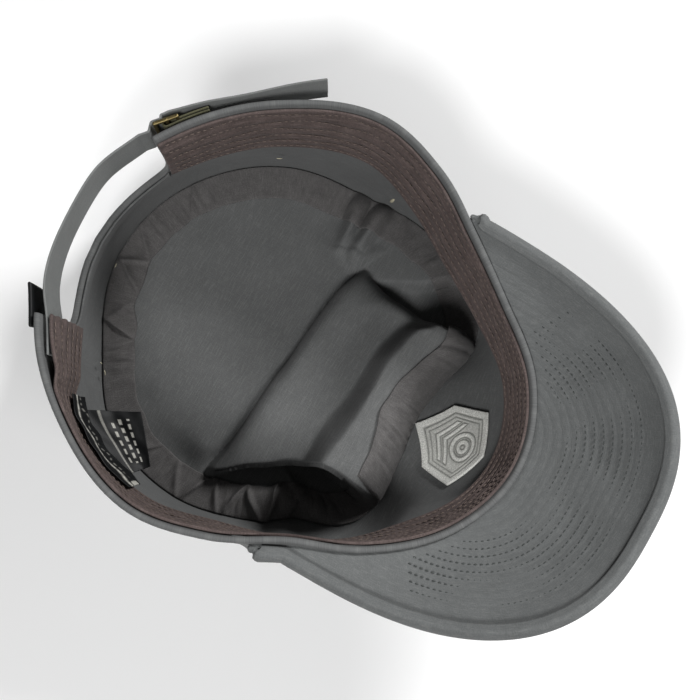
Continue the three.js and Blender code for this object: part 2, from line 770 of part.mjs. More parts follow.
// Cloth loop that holds the buckle's far bar: one strip that runs along the crown's hem, turns round the
// bar and comes back over itself
function buckleLoop() {
  const bend = loopRadius - loopPly / 2;
  const backPly = -loopRadius + 1.5 * loopPly + pieceGap;
  const line = [];
  for (let i = 0; i <= loopSteps; i += 1) {
    line.push(besideBuckle(loopBar - loopLength * (1 - i / loopSteps), -bend));
  }
  for (let i = 1; i < loopSteps; i += 1) {
    const angle = Math.PI * (i / loopSteps - 0.5);
    line.push(besideBuckle(loopBar + bend * Math.cos(angle), bend * Math.sin(angle)));
  }
  for (let i = 0; i <= loopSteps; i += 1) {
    const past = (loopLength * i) / loopSteps;
    const drop = smoothstep(past, 0, 2 * loopRadius);
    line.push(besideBuckle(loopBar - past, bend + (backPly - bend) * drop));
  }
  return standingBand(line, loopWidth, loopPly);
}

// Label that hangs from the sweatband's deep edge, leaning in from the crown side
function wovenLabel() {
  const points = [];
  const normals = [];
  const top = (sweatbandInset + sweatbandWidth - labelOverlap) / crownHeight;
  for (let i = 0; i <= labelSteps; i += 1) {
    const bearing = labelFrom + ((labelTo - labelFrom) * i) / labelSteps;
    const stand = sweatbandStand(bearing, 1) + sweatbandThickness + 3 * pieceGap;
    const shares = [0, 0.5, 1];
    const places = shares.map((share) => top + (wovenLabelHeight / crownHeight) * share);
    const labelNormals = places.map((depth) => sideNormal(bearing, depth).negate());
    points.push(places.map((depth, j) => sidePoint(bearing, depth)
      .addScaledVector(labelNormals[j], stand + labelLean * shares[j])));
    normals.push(labelNormals);
  }
  return sheetOn(points, normals, 0, labelThickness, false);
}

// Label that sticks out of the crown side over the seam tape, sagging a little
function careLabel() {
  const [first, last] = careCorners.map(({ bearing, reach, height }) => {
    const mouth = ovalReach(mouthLength, mouthWidth, bearing);
    return polar(bearing, reach * mouth, height * crownHeight);
  });
  const points = [];
  const normals = [];
  for (let i = 0; i <= labelSteps; i += 1) {
    const along = i / labelSteps;
    const bearing = careFrom + (careTo - careFrom) * along;
    const inward = sideNormal(bearing, careDepth).negate();
    const sewn = sidePoint(bearing, careDepth).addScaledVector(inward, 2 * pieceGap);
    const free = first.clone().lerp(last, along);
    points.push([0, 1 / 3, 2 / 3, 1].map((share) => {
      const point = sewn.clone().lerp(free, share);
      point.z -= careSag * Math.sin(Math.PI * share);
      return point;
    }));
    normals.push(points[i].map(() => new THREE.Vector3(0, 0, 1)));
  }
  return sheetOn(points, normals, 0, labelThickness, false);
}

// Six-sided patch sewn on the inside of the front: a fan of rings about its middle, laid on the cloth
function frontPatch() {
  const points = [];
  const normals = [];
  const perDegree = planReach(sidePoint(patchBearing, patchDepth)) * radians(1);
  const step = 0.05;
  const above = sidePoint(patchBearing, patchDepth - step);
  const perDepth = above.distanceTo(sidePoint(patchBearing, patchDepth + step)) / (2 * step);
  const sides = 6;
  const steps = 4 * sides;
  for (let i = 0; i < steps; i += 1) {
    const angle = (360 * i) / steps;
    const fromFlat = ((angle + 180 / sides) % (360 / sides)) - 180 / sides;
    const edge = patchWidth / 2 / Math.cos(radians(180 / sides - Math.abs(fromFlat)));
    const line = [0, 0.35, 0.7, 1].map((share) => {
      const bearing = patchBearing + (edge * share * Math.sin(radians(angle))) / perDegree;
      const depth = patchDepth + (edge * share * Math.cos(radians(angle))) / perDepth;
      return { point: sidePoint(bearing, depth), normal: sideNormal(bearing, depth).negate() };
    });
    points.push(line.map((place) => place.point));
    normals.push(line.map((place) => place.normal));
  }
  return sheetOn(points, normals, patchGap, patchGap + patchThickness, true);
}

// Small folded tab sewn on the outside of the gap's other end, its free end towards the gap
function sideTab() {
  const points = [];
  const normals = [];
  const steps = 4;
  for (let i = 0; i <= steps; i += 1) {
    const along = i / steps;
    const bearing = tabFrom + (tabTo - tabFrom) * along;
    const depths = [tabDrop, tabDrop + tabHeight].map((drop) => drop / crownHeight);
    const outwards = depths.map((depth) => sideNormal(bearing, depth));
    points.push(depths.map(
      (depth, j) => sidePoint(bearing, depth).addScaledVector(outwards[j], tabFlare * along ** 2),
    ));
    normals.push(outwards);
  }
  const near = hemThickness + tabGap;
  return sheetOn(points, normals, near, near + tabThickness, false);
}

addPiece("crown_side", crownSide(), clothColour);
addPiece("crown_top", crownTop(), clothColour);
addPiece("seam_tape", seamTape(), tapeColour);
addPiece("sweatband", sweatband(), sweatbandColour);
addPiece("gap_facing", gapFacing(), clothColour);
addPiece("peak", peak(), peakColour);
addPiece("peak_binding", peakBinding(), clothColour);
addPiece("back_strap", standingBand(strapLine(), strapWidth, strapThickness), clothColour);
addPiece("buckle_loop", buckleLoop(), loopColour);
addPiece("woven_label", wovenLabel(), labelColour);
addPiece("care_label", careLabel(), labelColour);
addPiece("front_patch", frontPatch(), patchColour, 0.7);
addPiece("side_tab", sideTab(), labelColour);

const buckle = new THREE.Group();
const stand = buckleAxes();
buckle.setRotationFromMatrix(new THREE.Matrix4().makeBasis(stand.along, stand.up, stand.out));
buckle.position.copy(besideBuckle(0, 0));
cap.add(buckle);
addPiece("buckle_frame", buckleFrame(), brassColour, 0.45, 1, buckle);

// The floor under the middle of the whole cap is the part's origin
const box = new THREE.Box3().setFromObject(cap, true);
cap.position.set(-(box.min.x + box.max.x) / 2, -(box.min.y + box.max.y) / 2, -box.min.z);

export default cap;
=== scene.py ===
import math

import bpy
import numpy as np
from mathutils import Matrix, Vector


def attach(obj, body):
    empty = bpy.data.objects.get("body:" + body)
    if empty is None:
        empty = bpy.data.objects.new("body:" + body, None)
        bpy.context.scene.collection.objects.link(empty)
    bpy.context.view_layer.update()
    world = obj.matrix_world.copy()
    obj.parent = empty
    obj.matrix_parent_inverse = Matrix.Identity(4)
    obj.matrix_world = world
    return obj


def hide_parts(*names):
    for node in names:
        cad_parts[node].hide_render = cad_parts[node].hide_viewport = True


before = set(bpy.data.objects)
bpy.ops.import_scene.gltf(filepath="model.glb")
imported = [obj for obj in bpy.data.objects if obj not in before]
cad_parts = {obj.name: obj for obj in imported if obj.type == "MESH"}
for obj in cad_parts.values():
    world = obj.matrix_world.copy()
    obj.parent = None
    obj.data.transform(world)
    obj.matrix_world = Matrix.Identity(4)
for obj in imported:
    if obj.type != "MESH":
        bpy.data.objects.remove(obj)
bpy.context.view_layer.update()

# A patrol cap lying upside down on its crown, open side up.
# The numpy code works in millimetres about the middle of the crown's mouth, front towards -Y. A
# depth is a share of the way down the side, from 0 at the rim to 1 at the seam of the top.
# A bearing is in degrees from the front, turning towards +X.
capInPart = np.array([-1.498, 24.304, 0.0])  # that middle in the part's frame, mm
metre = 0.001
threadMap = "threadMm"  # UV map in millimetres along and across the threads


# Camera, floor and lights

cameraSetup = dict(
    target=(4.5, -19.7, 90.0),  # cap coordinates, mm
    azimuth=-60.0,
    elevation=82.0,
    distance=520.0,
    focal=70.87,
    sensor=36.0,
    clip=(0.01, 20.0),  # m
)


def addCamera(c):
    # Back from the target along (sin a cos e, -cos a cos e, sin e), and turned to look at it
    data = bpy.data.cameras.new("camera")
    data.lens, data.sensor_width = c["focal"], c["sensor"]
    data.clip_start, data.clip_end = c["clip"]
    camera = bpy.data.objects.new("camera", data)
    a, e = math.radians(c["azimuth"]), math.radians(c["elevation"])
    back = Vector((math.sin(a) * math.cos(e), -math.cos(a) * math.cos(e), math.sin(e)))
    target = Vector((np.array(c["target"]) + capInPart) * metre)
    camera.location = target + back * c["distance"] * metre
    camera.rotation_euler = back.to_track_quat("Z", "Y").to_euler()
    bpy.context.scene.collection.objects.link(camera)
    bpy.context.scene.camera = camera


lightSetup = dict(
    lamps=(  # disks that face the part's origin, m and W
        dict(name="key", place=(1.064, -0.387, 0.9), size=0.4, power=19.0),
        dict(name="fill", place=(-0.665, -0.12, 1.17), size=0.4, power=12.5),
        dict(name="frontFill", place=(-0.3, -1.0, 0.95), size=0.5, power=3.0),
    ),
    sky=0.07,  # strength of the even white light from all round
    floorSize=6.0,
    floorColour="#f4f4f4",
    floorRoughness=0.9,
)


def addLights(c):
    for lamp in c["lamps"]:
        light = bpy.data.lights.new(lamp["name"], "AREA")
        light.shape, light.size, light.energy = "DISK", lamp["size"], lamp["power"]
        stand = bpy.data.objects.new(lamp["name"], light)
        stand.location = lamp["place"]
        stand.rotation_euler = Vector(lamp["place"]).to_track_quat("Z", "Y").to_euler()
        bpy.context.scene.collection.objects.link(stand)
    world = bpy.data.worlds.new("studio")
    bpy.context.scene.world = world
    world.use_nodes = True
    sky = world.node_tree.nodes["Background"]
    sky.inputs["Color"].default_value = (1, 1, 1, 1)
    sky.inputs["Strength"].default_value = c["sky"]
    bpy.context.scene.view_settings.view_transform = "Standard"


# Tables and noise

def readTable(table, key, column, place, turn=0.0):
    # Value between rows: a cubic whose slope at a row is the rise between the two beside it over
    # their distance. Outside its rows a table holds its end values, or repeats after turn.
    keys = np.array(table[key], float)
    values = np.array(table[column], float)
    at = np.asarray(place, float)
    if turn:
        keys = np.concatenate([keys[-2:] - turn, keys, keys[:3] + turn])
        values = np.concatenate([values[-2:], values, values[:3]])
        at = np.mod(at, turn)
    before = np.maximum(np.arange(len(keys)) - 1, 0)
    after = np.minimum(np.arange(len(keys)) + 1, len(keys) - 1)
    slopes = (values[after] - values[before]) / (keys[after] - keys[before])
    low = np.clip(np.searchsorted(keys, at, "right") - 1, 0, len(keys) - 2)
    span = keys[low + 1] - keys[low]
    t = np.clip((at - keys[low]) / span, 0, 1)
    rise = values[low + 1] - values[low]
    return (values[low] + slopes[low] * span * (t**3 - 2 * t**2 + t)
            + rise * (3 * t**2 - 2 * t**3) + slopes[low + 1] * span * (t**3 - t**2))


def smoothstep(x, low, high):
    # 3 t^2 - 2 t^3, where t runs from 0 at low to 1 at high
    t = np.clip((x - low) / (high - low), 0, 1)
    return t * t * (3 - 2 * t)


waves = dict(count=14, low=0.6, high=1.5)  # plane waves in a ripple, and the range of their pitch
seeds = dict(topSwell=2, gathers=3, fineGathers=4, label=4, band=5, gatherRuns=6, careLabel=6,
             peak=8, tapeEdge=9, topLines=12, bandRows=20)


def ripple(seed, size, *places):
    # Soft random swell of about -1 to 1: the sum of cos(w . p + phase) over seeded plane waves,
    # over the root of their number
    draw = np.random.default_rng(seed)
    total = 0.0
    for _ in range(waves["count"]):
        way = draw.normal(size=len(places))
        way *= 2 * np.pi / size * draw.uniform(waves["low"], waves["high"]) / np.linalg.norm(way)
        total = total + np.cos(sum(w * p for w, p in zip(way, places)) + draw.uniform(0, 2 * np.pi))
    return total / math.sqrt(waves["count"])


def unit(v):
    return v / np.maximum(np.linalg.norm(v, axis=-1, keepdims=True), 1e-9)


def upward(v):
    # The same directions with length 1, turned over where they point down
    v = unit(v)
    return v * np.sign(v[..., 2:])


def gridNormals(points):
    # Upward directions square to a grid's lines and rows
    return upward(np.cross(np.gradient(points, axis=0), np.gradient(points, axis=1)))


def bearingOf(x, y):
    # Direction of a place as seen from the middle: the angle whose tangent is x / -y
    return np.degrees(np.arctan2(x, -y))


def evenGrid(lines, rows):
    # Shares from 0 to 1 along the lines and across the rows of a grid
    return np.meshgrid(np.linspace(0, 1, lines), np.linspace(0, 1, rows), indexing="ij")


def wrapped(angle):
    # The same angle between -180 and 180
    return np.mod(angle + 540, 360) - 180


def polar(bearing, reach, height):
    # Point at a bearing and a distance from the middle: (r sin b, -r cos b, h)
    b = np.radians(bearing)
    x, y, z = np.broadcast_arrays(reach * np.sin(b), -reach * np.cos(b), height)
    return np.stack([x, y, z], -1).astype(float)


def planReach(points):
    return np.hypot(points[..., 0], points[..., 1])


# Crown: the shape that its side and its top share, in mm and degrees. The gap's power makes its arch
# squarish, and its fan is how far the lines below it spread.

crown = dict(
    mouthLength=196.0, mouthWidth=180.0, topLength=190.0, topWidth=160.0, height=90.0,
    cloth=1.4, hem=2.6, hemWidth=7.0, hemStep=1.4, gap=0.3,
    gapWidth=80.0, gapDepth=52.0, gapBearing=181.0, gapPower=5.0, gapFan=10.0, gapFanReach=60.0,
)

# At each bearing, the reach of the side's inner face at its rim, a third and two thirds of the way
# down and at its seam, as shares of the mouth's oval and for the seam of the top's. Heights are
# shares of the crown's, and standOff is the sweatband's at its lower edge, a share of its width.
crownSections = dict(
    bearing=[0, 20, 40, 60, 80, 100, 125, 150, 180, 205, 230, 255, 275, 297, 318, 340],
    rim=[.99, .94, .84, .83, .91, .99, .97, .965, .99, 1.02, 1.005, .995, .91, .83, .885, .96],
    shoulder=[.93, .9, .86, .83, .86, .91, .92, .925, .985, .965, 1.015, .97, .885, .92, .895, .92],
    waist=[.81, .83, .87, .88, .88, .91, .94, .99, 1, .975, .99, .93, .875, .92, .9, .84],
    seam=[.57, .65, .88, .97, 1, 1, 1.07, 1.065, 1.025, .99, 1.05, 1.015, .925, .825, .835, .65],
    rimHeight=[.74, .77, .87, .97, 1, 1, 1, 1, 1, 1, 1, 1, 1, .97, .88, .78],
    seamHeight=[.22, .18, .07, .01, 0, 0, 0, 0, 0, 0, 0, 0, 0, 0, .09, .21],
    standOff=[.04, .1, .27, .27, .16, .02, .02, .02, .02, .02, .02, .02, .04, .24, .1, .05],
)

# Folds across the side: bearing and half width in degrees, depths at which each begins and ends, and
# outward movement as a share of the fold unit in mm
sideFolds = dict(
    bearing=[294, 286, 331, 92, 236, 48],
    half=[5, 3, 13, 6, 7, 6],
    top=[.4, .45, .15, .3, .4, .4],
    bottom=[1.1, 1.1, .95, .9, 1, 1],
    out=[-.12, .1, -.15, -.08, -.06, -.1],
)
foldUnit = 30.0


def ovalReach(length, width, bearing):
    # Distance from the middle to an oval's edge: 1 / hypot(cos b / half length, sin b / half width)
    b = np.radians(bearing)
    return 1 / np.hypot(np.cos(b) / (length / 2), np.sin(b) / (width / 2))


def throughFour(t, a, b, c, d):
    # Cubic through four values at none, a third, two thirds and all of the way
    one, two, last = t - 1 / 3, t - 2 / 3, t - 1
    return -4.5 * one * two * last * a + 13.5 * t * two * last * b - 13.5 * t * one * last * c \
        + 4.5 * t * one * two * d


def sidePoint(bearing, depth):
    # Inner face of the side: reach by the cubic through the four ovals, height falling evenly
    bearing, depth = np.broadcast_arrays(np.asarray(bearing, float), np.asarray(depth, float))
    read = lambda column: readTable(crownSections, "bearing", column, bearing, 360)
    mouth = ovalReach(crown["mouthLength"], crown["mouthWidth"], bearing)
    top = ovalReach(crown["topLength"], crown["topWidth"], bearing)
    reach = throughFour(depth, read("rim") * mouth, read("shoulder") * mouth,
                        read("waist") * mouth, read("seam") * top)
    for at, half, first, last, out in zip(*sideFolds.values()):
        off = wrapped(bearing - at) / half
        along = np.minimum(np.abs(depth - (first + last) / 2) / ((last - first) / 2), 1)
        reach = reach + out * foldUnit * np.exp(-off**2) * (1 - along**2) ** 2
    rimHeight = read("rimHeight") * crown["height"]
    seamHeight = crown["cloth"] + np.maximum(read("seamHeight"), 0) * crown["height"]
    return polar(bearing, reach, rimHeight + (seamHeight - rimHeight) * depth)


slopeStep = dict(degrees=0.5, share=0.01)  # half the distance over which a slope is measured


def sideNormal(bearing, depth):
    # Outward direction: the slope down the side crossed with the slope round it
    turn, step = slopeStep["degrees"], slopeStep["share"]
    along = sidePoint(bearing + turn, depth) - sidePoint(bearing - turn, depth)
    down = sidePoint(bearing, depth + step) - sidePoint(bearing, depth - step)
    return unit(np.cross(down, along))


def wallPoints(bearing, depth, stand):
    # Points at a distance in from the side's inner face, and the inward directions there
    normals = -sideNormal(bearing, depth)
    return sidePoint(bearing, depth) + normals * np.asarray(stand)[..., None], normals


# Buckled front of the top panel, by its lines across the crown. From back to front they are the
# crease, the top of the roll, the valley behind the ridge, the ridge and its foot on the tape.
# Places are y at each x, and heights are above the flat cloth, all in mm.
topMiddle = np.array([0.0, 0.07 * crown["topLength"]])
buckleLines = dict(
    x=[-60, -48, -35, -20, 0, 20, 31, 38, 50, 62],
    crease=[14, 12.0, 10.6, 9.6, 8.4, 6.4, 5.0, 3.8, 0, -7],
    roll=[-4, -7, -7.8, -6, -7, -9.2, -11.5, -12.7, -16, -20],
    valley=[-19, -20, -20.5, -21, -23, -25, -26.5, -30, -34, -38],
    ridge=[-30, -30.5, -31, -32, -33, -34, -37, -44, -50, -54],
    foot=[-42, -42, -42.5, -44, -45.5, -45, -49, -59, -63, -66],
    rollHeight=[10, 14, 17, 19, 21, 21, 20, 19, 16, 9],
    valleyHeight=[9, 13, 16, 18, 18, 16, 14, 14, 12, 8],
    ridgeHeight=[16, 32, 39, 40, 40, 40, 40, 39, 34, 16],
    footHeight=[14, 30, 38, 39, 38, 37, 38, 38, 32, 12],
)
# At each y: where the raised cloth ends at its left, where it ends at its right over the pocket and
# how far it takes to round off there, and where the cheek beside that pocket begins, with its height
pocketLines = dict(
    y=[-62, -54, -45, -37, -28, -18, -9, 0, 12],
    left=[-41, -38, -35, -33, -33, -37, -43, -49, -62],
    right=[41, 42.5, 43, 43, 43.5, 44, 47, 54, 64],
    rounding=[5, 4, 4, 5, 7, 9, 16, 24, 26],
    cheek=[76, 74, 70, 64, 56, 51, 46, 44, 52],
    cheekHeight=[0, 1, 3, 6, 7, 6, 6, 5, 0],
)
# How the forms of the top begin and end, in mm. Waver moves all lines a little. Back is the low
# lip behind the crease, front the fall to the tape, and bank and cheek lie beside the pockets.
pocket = dict(
    waver=1.2, waverSize=34.0, waverBack=0.8, rollPower=6.0, softness=3.6,
    frontHeight=22.0, frontReach=20.0,
    backHeight=5.0, backReach=24.0, backLip=2.2, backSides=(66.0, 50.0),
    cheekSoftness=3.0, cheekFall=0.7, cheekReach=30.0,
    bankHeight=5.0, bankReach=9.0, bankSetback=12.0, bankStart=14.0,
)
# How far the raised cloth hangs over: at its left end, at the cheek and over the crease
overhang = dict(
    left=7.0, leftHeights=(4.0, 14.0), rimPower=4, fade=8.0,
    cheek=1.5, cheekHeight=17.0,
    crease=1.6, creaseHeights=(4.0, 12.0), creaseStart=3.0, creaseFade=6.0,
)
# Small folds: points of each, half width, and height that fades to nothing at both ends
pleats = (
    dict(line=((84, 17.5), (70, 14.5), (52, 12.5)), half=3.0, height=7.0),
    dict(line=((88, 3.5), (74, 4.5), (54, 6.5)), half=3.2, height=8.0),
    dict(line=((-49, -20.5), (-59, -23.8), (-70, -28)), half=2.6, height=5.0),
    dict(line=((-52, -37), (-60, -36.5), (-68, -36)), half=2.4, height=4.0),
    dict(line=((-45, -16), (-49, -23), (-53, -30)), half=1.8, height=3.0),
)

pleatForm = dict(ends=0.04, endPower=0.5, cut=3.0)  # shares of its length and of its half width
topForm = dict(swell=0.25, swellSize=45.0, raisedPower=12, pleatPower=24, liftPower=6, slopeStep=0.4)

# The seam as seen from the top's middle
seamPoints = sidePoint(np.arange(0, 360, 0.25), 1.0)
seamOffsets = seamPoints[:, :2] - topMiddle
seamDirections = np.mod(bearingOf(*seamOffsets.T), 360)
seamReaches = np.hypot(*seamOffsets.T)


def topEdge(direction):
    # Reach and lift of the seam in a direction from the top's middle
    read = lambda values: np.interp(np.mod(direction, 360), seamDirections, values, period=360)
    return read(seamReaches), read(seamPoints[:, 2] - crown["cloth"])


def nearLine(x, y, line):
    # Distance to a line through points, and how far along it the nearest place is, as a share
    line = np.array(line, float)
    runs = np.concatenate([[0], np.cumsum(np.hypot(*np.diff(line, axis=0).T))])
    best, share = np.full(np.shape(x), 1e9), np.zeros(np.shape(x))
    for (ax, ay), (bx, by), start, end in zip(line[:-1], line[1:], runs[:-1], runs[1:]):
        t = np.clip(((x - ax) * (bx - ax) + (y - ay) * (by - ay)) / (end - start) ** 2, 0, 1)
        off = np.hypot(x - ax - t * (bx - ax), y - ay - t * (by - ay))
        share = np.where(off < best, (start + t * (end - start)) / runs[-1], share)
        best = np.minimum(best, off)
    return best, share


def pocketLine(column, y):
    return readTable(pocketLines, "y", column, y)


def cheekRise(past):
    return smoothstep(past, -pocket["cheekSoftness"], pocket["cheekSoftness"])


def buckled(x, y):
    # From line to line: a roll that rises as 1 - (1 - t)^p from the crease, then smooth steps from
    # height to height. Both sides end in the pockets.
    waver = pocket["waver"] * ripple(seeds["topLines"], pocket["waverSize"], x, y)
    x, y = x + waver, y - pocket["waverBack"] * waver
    read = lambda column: readTable(buckleLines, "x", column, x)
    crease, *places = (read(k) for k in ("crease", "roll", "valley", "ridge", "foot"))
    heights = [read(k) for k in ("rollHeight", "valleyHeight", "ridgeHeight", "footHeight")]
    t = np.clip((crease - y) / (crease - places[0]), 0, 1)
    height = heights[0] * (1 - (1 - t) ** pocket["rollPower"])
    places.append(places[-1] - pocket["frontReach"])
    heights.append(pocket["frontHeight"])
    for k in range(len(places) - 1):
        height += (heights[k + 1] - heights[k]) * smoothstep(-y, -places[k], -places[k + 1])
    left, right = pocketSides(x, y)
    behind = np.maximum(y - crease, 0)
    lip = pocket["backHeight"] * np.exp(-((behind / pocket["backReach"]) ** 2)) \
        * (1 - np.exp(-behind / pocket["backLip"])) * smoothstep(np.abs(x), *pocket["backSides"])
    # The cheek beside the right pocket and the low bank beside the left one
    past = x - pocketLine("cheek", y)
    fall = 1 - pocket["cheekFall"] * smoothstep(past, 0, pocket["cheekReach"])
    cheek = pocketLine("cheekHeight", y) * cheekRise(past) * fall
    beside = pocketLine("left", y) - pocket["bankSetback"] - x
    bank = smoothstep(beside, 0, pocket["bankReach"]) * smoothstep(-y, 0, pocket["bankStart"])
    return np.maximum(height * left * right, cheek) + lip + pocket["bankHeight"] * bank


def pocketSides(x, y):
    # Shares from 0 to 1 of the way up the raised cloth's ends: the left one a soft step, the right
    # one the quarter of an oval sqrt(1 - t^2)
    soft = pocket["softness"]
    t = np.clip(1 - (pocketLine("right", y) - x) / pocketLine("rounding", y), 0, 1)
    return smoothstep(x - pocketLine("left", y), -soft, soft), np.sqrt(np.maximum(1 - t**2, 0))


def topHeight(x, y):
    # Height of the top's inner face: flat behind the crease and buckled in front of it. With s the
    # share of the way out, the raised cloth fades as 1 - s^12, the pleats as 1 - s^24, and the
    # seam's height comes in as s^6.
    fromMiddle = x - topMiddle[0], y - topMiddle[1]
    reach, lift = topEdge(bearingOf(*fromMiddle))
    share = np.minimum(np.hypot(*fromMiddle) / reach, 1)
    swell = topForm["swell"] * (1 + ripple(seeds["topSwell"], topForm["swellSize"], x, y))
    raised = np.maximum(buckled(x, y), 0) + swell
    folds = 0
    for fold in pleats:
        off, along = nearLine(x, y, fold["line"])
        inside = np.clip(along, pleatForm["ends"], 1 - pleatForm["ends"])
        bell = np.exp(-((off / fold["half"]) ** 2)) * np.sin(np.pi * inside) ** pleatForm["endPower"]
        folds = folds + fold["height"] * bell * (off < pleatForm["cut"] * fold["half"])
    return crown["cloth"] + raised * (1 - share ** topForm["raisedPower"]) \
        + folds * (1 - share ** topForm["pleatPower"]) + lift * share ** topForm["liftPower"]


def topNormal(x, y):
    # Upward direction (-slope in x, -slope in y, 1)
    step = topForm["slopeStep"]
    slopeX = (topHeight(x + step, y) - topHeight(x - step, y)) / (2 * step)
    slopeY = (topHeight(x, y + step) - topHeight(x, y - step)) / (2 * step)
    return unit(np.stack([-slopeX, -slopeY, np.ones_like(slopeX)], -1))


def fromTopMiddle(direction, reach):
    away = polar(direction, reach, 0)
    return topMiddle[0] + away[..., 0], topMiddle[1] + away[..., 1]


def topPlace(direction, fromEdge):
    # Point and normal of the top's inner face in a direction, a distance in from the seam
    x, y = fromTopMiddle(direction, topEdge(direction)[0] - fromEdge)
    return np.stack([x, y, topHeight(x, y)], -1), topNormal(x, y)


# Meshes from grids

edgeRound = dict(steps=3, turn=84.0)  # rows that round a sheet's edge, and the last one's angle


def lengths(points, axis):
    # Distance from the first point to each along one axis of a grid
    steps = np.linalg.norm(np.diff(points, axis=axis), axis=-1)
    first = np.zeros_like(np.take(steps, [0], axis=axis))
    return np.cumsum(np.concatenate([first, steps], axis), axis)


def roundEnds(middle, normals, half, axis, steps):
    # Adds rows past both ends of a grid so that the two faces meet in a half round: at angle t the
    # row stands out by half * sin t and its thickness is times cos t
    angles = np.radians(np.linspace(0, edgeRound["turn"], steps + 1)[1:])
    take = lambda a, i: np.take(a, [i], axis=axis)
    parts = []
    for end, inner in ((0, 1), (-1, -2)):
        away = unit(take(middle, end) - take(middle, inner))
        rows = [(take(middle, end) + away * take(half, end)[..., None] * math.sin(t),
                 take(normals, end), take(half, end) * math.cos(t)) for t in angles]
        parts.append(rows[::-1] if end == 0 else rows)
    return [np.concatenate([*(r[k] for r in parts[0]), whole, *(r[k] for r in parts[1])], axis)
            for k, whole in enumerate((middle, normals, half))]


def sheet(points, normals, near, far, looped=False, steps=edgeRound["steps"]):
    # Two faces of a sheet laid on a surface, at the given distances along its normals, with
    # rounded edges
    near, far = (np.broadcast_to(np.asarray(d, float), points.shape[:2]) for d in (near, far))
    middle = points + normals * ((near + far) / 2)[..., None]
    grid = roundEnds(middle, normals, (far - near) / 2, 1, steps)
    if not looped:
        grid = roundEnds(*grid, 0, steps)
    middle, normals, half = grid
    return middle - normals * half[..., None], middle + normals * half[..., None]


def carried(values, looped=False, steps=edgeRound["steps"]):
    # Values of a sheet's grid, repeated over its rounded edges
    widths = [(0, 0) if looped else (steps, steps), (steps, steps)] + [(0, 0)] * (values.ndim - 2)
    return np.pad(values, widths, mode="edge")


def onBothFaces(values, looped=False):
    return np.tile(carried(values, looped).ravel(), 2)


def quadsOf(g):
    # Quads between neighbouring points of a grid of numbers
    return np.stack([g[:-1, :-1], g[1:, :-1], g[1:, 1:], g[:-1, 1:]], -1).reshape(-1, 4)


def solid(near, far, uv=None, looped=False):
    # Closed body between two faces given as grids; a looped grid joins its last line to its first
    lines, rows = near.shape[:2]
    if uv is None:
        closed = np.concatenate([near, near[:1]]) if looped else near
        uv = np.stack([np.broadcast_to(lengths(closed, 0)[:, rows // 2:rows // 2 + 1], closed.shape[:2]),
                       lengths(closed, 1)], -1)
    index = np.arange(lines * rows).reshape(lines, rows)
    index = np.concatenate([index, index[:1]]) if looped else index
    place = np.arange(uv.shape[0] * uv.shape[1]).reshape(uv.shape[:2])
    total = lines * rows

    def faces(g, step):
        found = [quadsOf(g)[:, ::-1], quadsOf(g) + step]
        strip = lambda a, b: np.stack([a, b, b + step, a + step], -1)
        found += [strip(g[:-1, 0], g[1:, 0]), strip(g[1:, -1], g[:-1, -1])]
        if not looped:
            found += [strip(g[0, 1:], g[0, :-1]), strip(g[-1, :-1], g[-1, 1:])]
        return np.concatenate(found)

    return dict(points=np.concatenate([near.reshape(-1, 3), far.reshape(-1, 3)]),
                faces=faces(index, total), uv=uv.reshape(-1, 2), places=faces(place, 0))


def outwards(body):
    # Turns the faces round if together they enclose a negative volume
    p, f = body["points"], body["faces"]
    volume = sum(np.einsum("ij,ij->i", p[f[:, 0]], np.cross(p[f[:, k]], p[f[:, k + 1]])).sum()
                 for k in (1, 2))
    if volume < 0:
        body["faces"], body["places"] = f[:, ::-1], body["places"][:, ::-1]
    return body


def addPiece(name, bodies, material, node=None, attributes=None):
    # One object from closed bodies, which rides the part and takes the place of a node's solid
    bodies = [outwards(b) for b in bodies]
    starts = np.cumsum([0] + [len(b["points"]) for b in bodies])
    uvStarts = np.cumsum([0] + [len(b["uv"]) for b in bodies])
    points = (np.concatenate([b["points"] for b in bodies]) + capInPart) * metre
    faces = np.concatenate([b["faces"] + s for b, s in zip(bodies, starts)])
    uv = np.concatenate([b["uv"] for b in bodies])
    uv = uv[np.concatenate([b["places"] + s for b, s in zip(bodies, uvStarts)]).ravel()]
    mesh = bpy.data.meshes.new(name)
    mesh.vertices.add(len(points))
    mesh.vertices.foreach_set("co", points.ravel())
    mesh.loops.add(faces.size)
    mesh.loops.foreach_set("vertex_index", faces.ravel().astype(np.int32))
    mesh.polygons.add(len(faces))
    mesh.polygons.foreach_set("loop_start", np.arange(0, faces.size, 4, dtype=np.int32))
    mesh.polygons.foreach_set("use_smooth", np.ones(len(faces), bool))
    mesh.update(calc_edges=True)
    mesh.uv_layers.new(name=threadMap).uv.foreach_set("vector", uv.astype(np.float32).ravel())
    for key, values in (attributes or {}).items():
        layer = mesh.attributes.new(key, "FLOAT", "POINT")
        layer.data.foreach_set("value", np.asarray(values, np.float32).ravel())
    mesh.validate()
    mesh.materials.append(material)
    piece = bpy.data.objects.new(name, mesh)
    bpy.context.scene.collection.objects.link(piece)
    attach(piece, "root")
    if node:
        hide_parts(node)
    print(name, len(faces) * 2, "triangles")


# Shares of a stitch's half length at its sections, sides of its section and how far its ends dip
stitchForm = dict(sections=(-0.98, -0.6, 0, 0.6, 0.98), sides=6, dip=0.35, slopeStep=0.3)


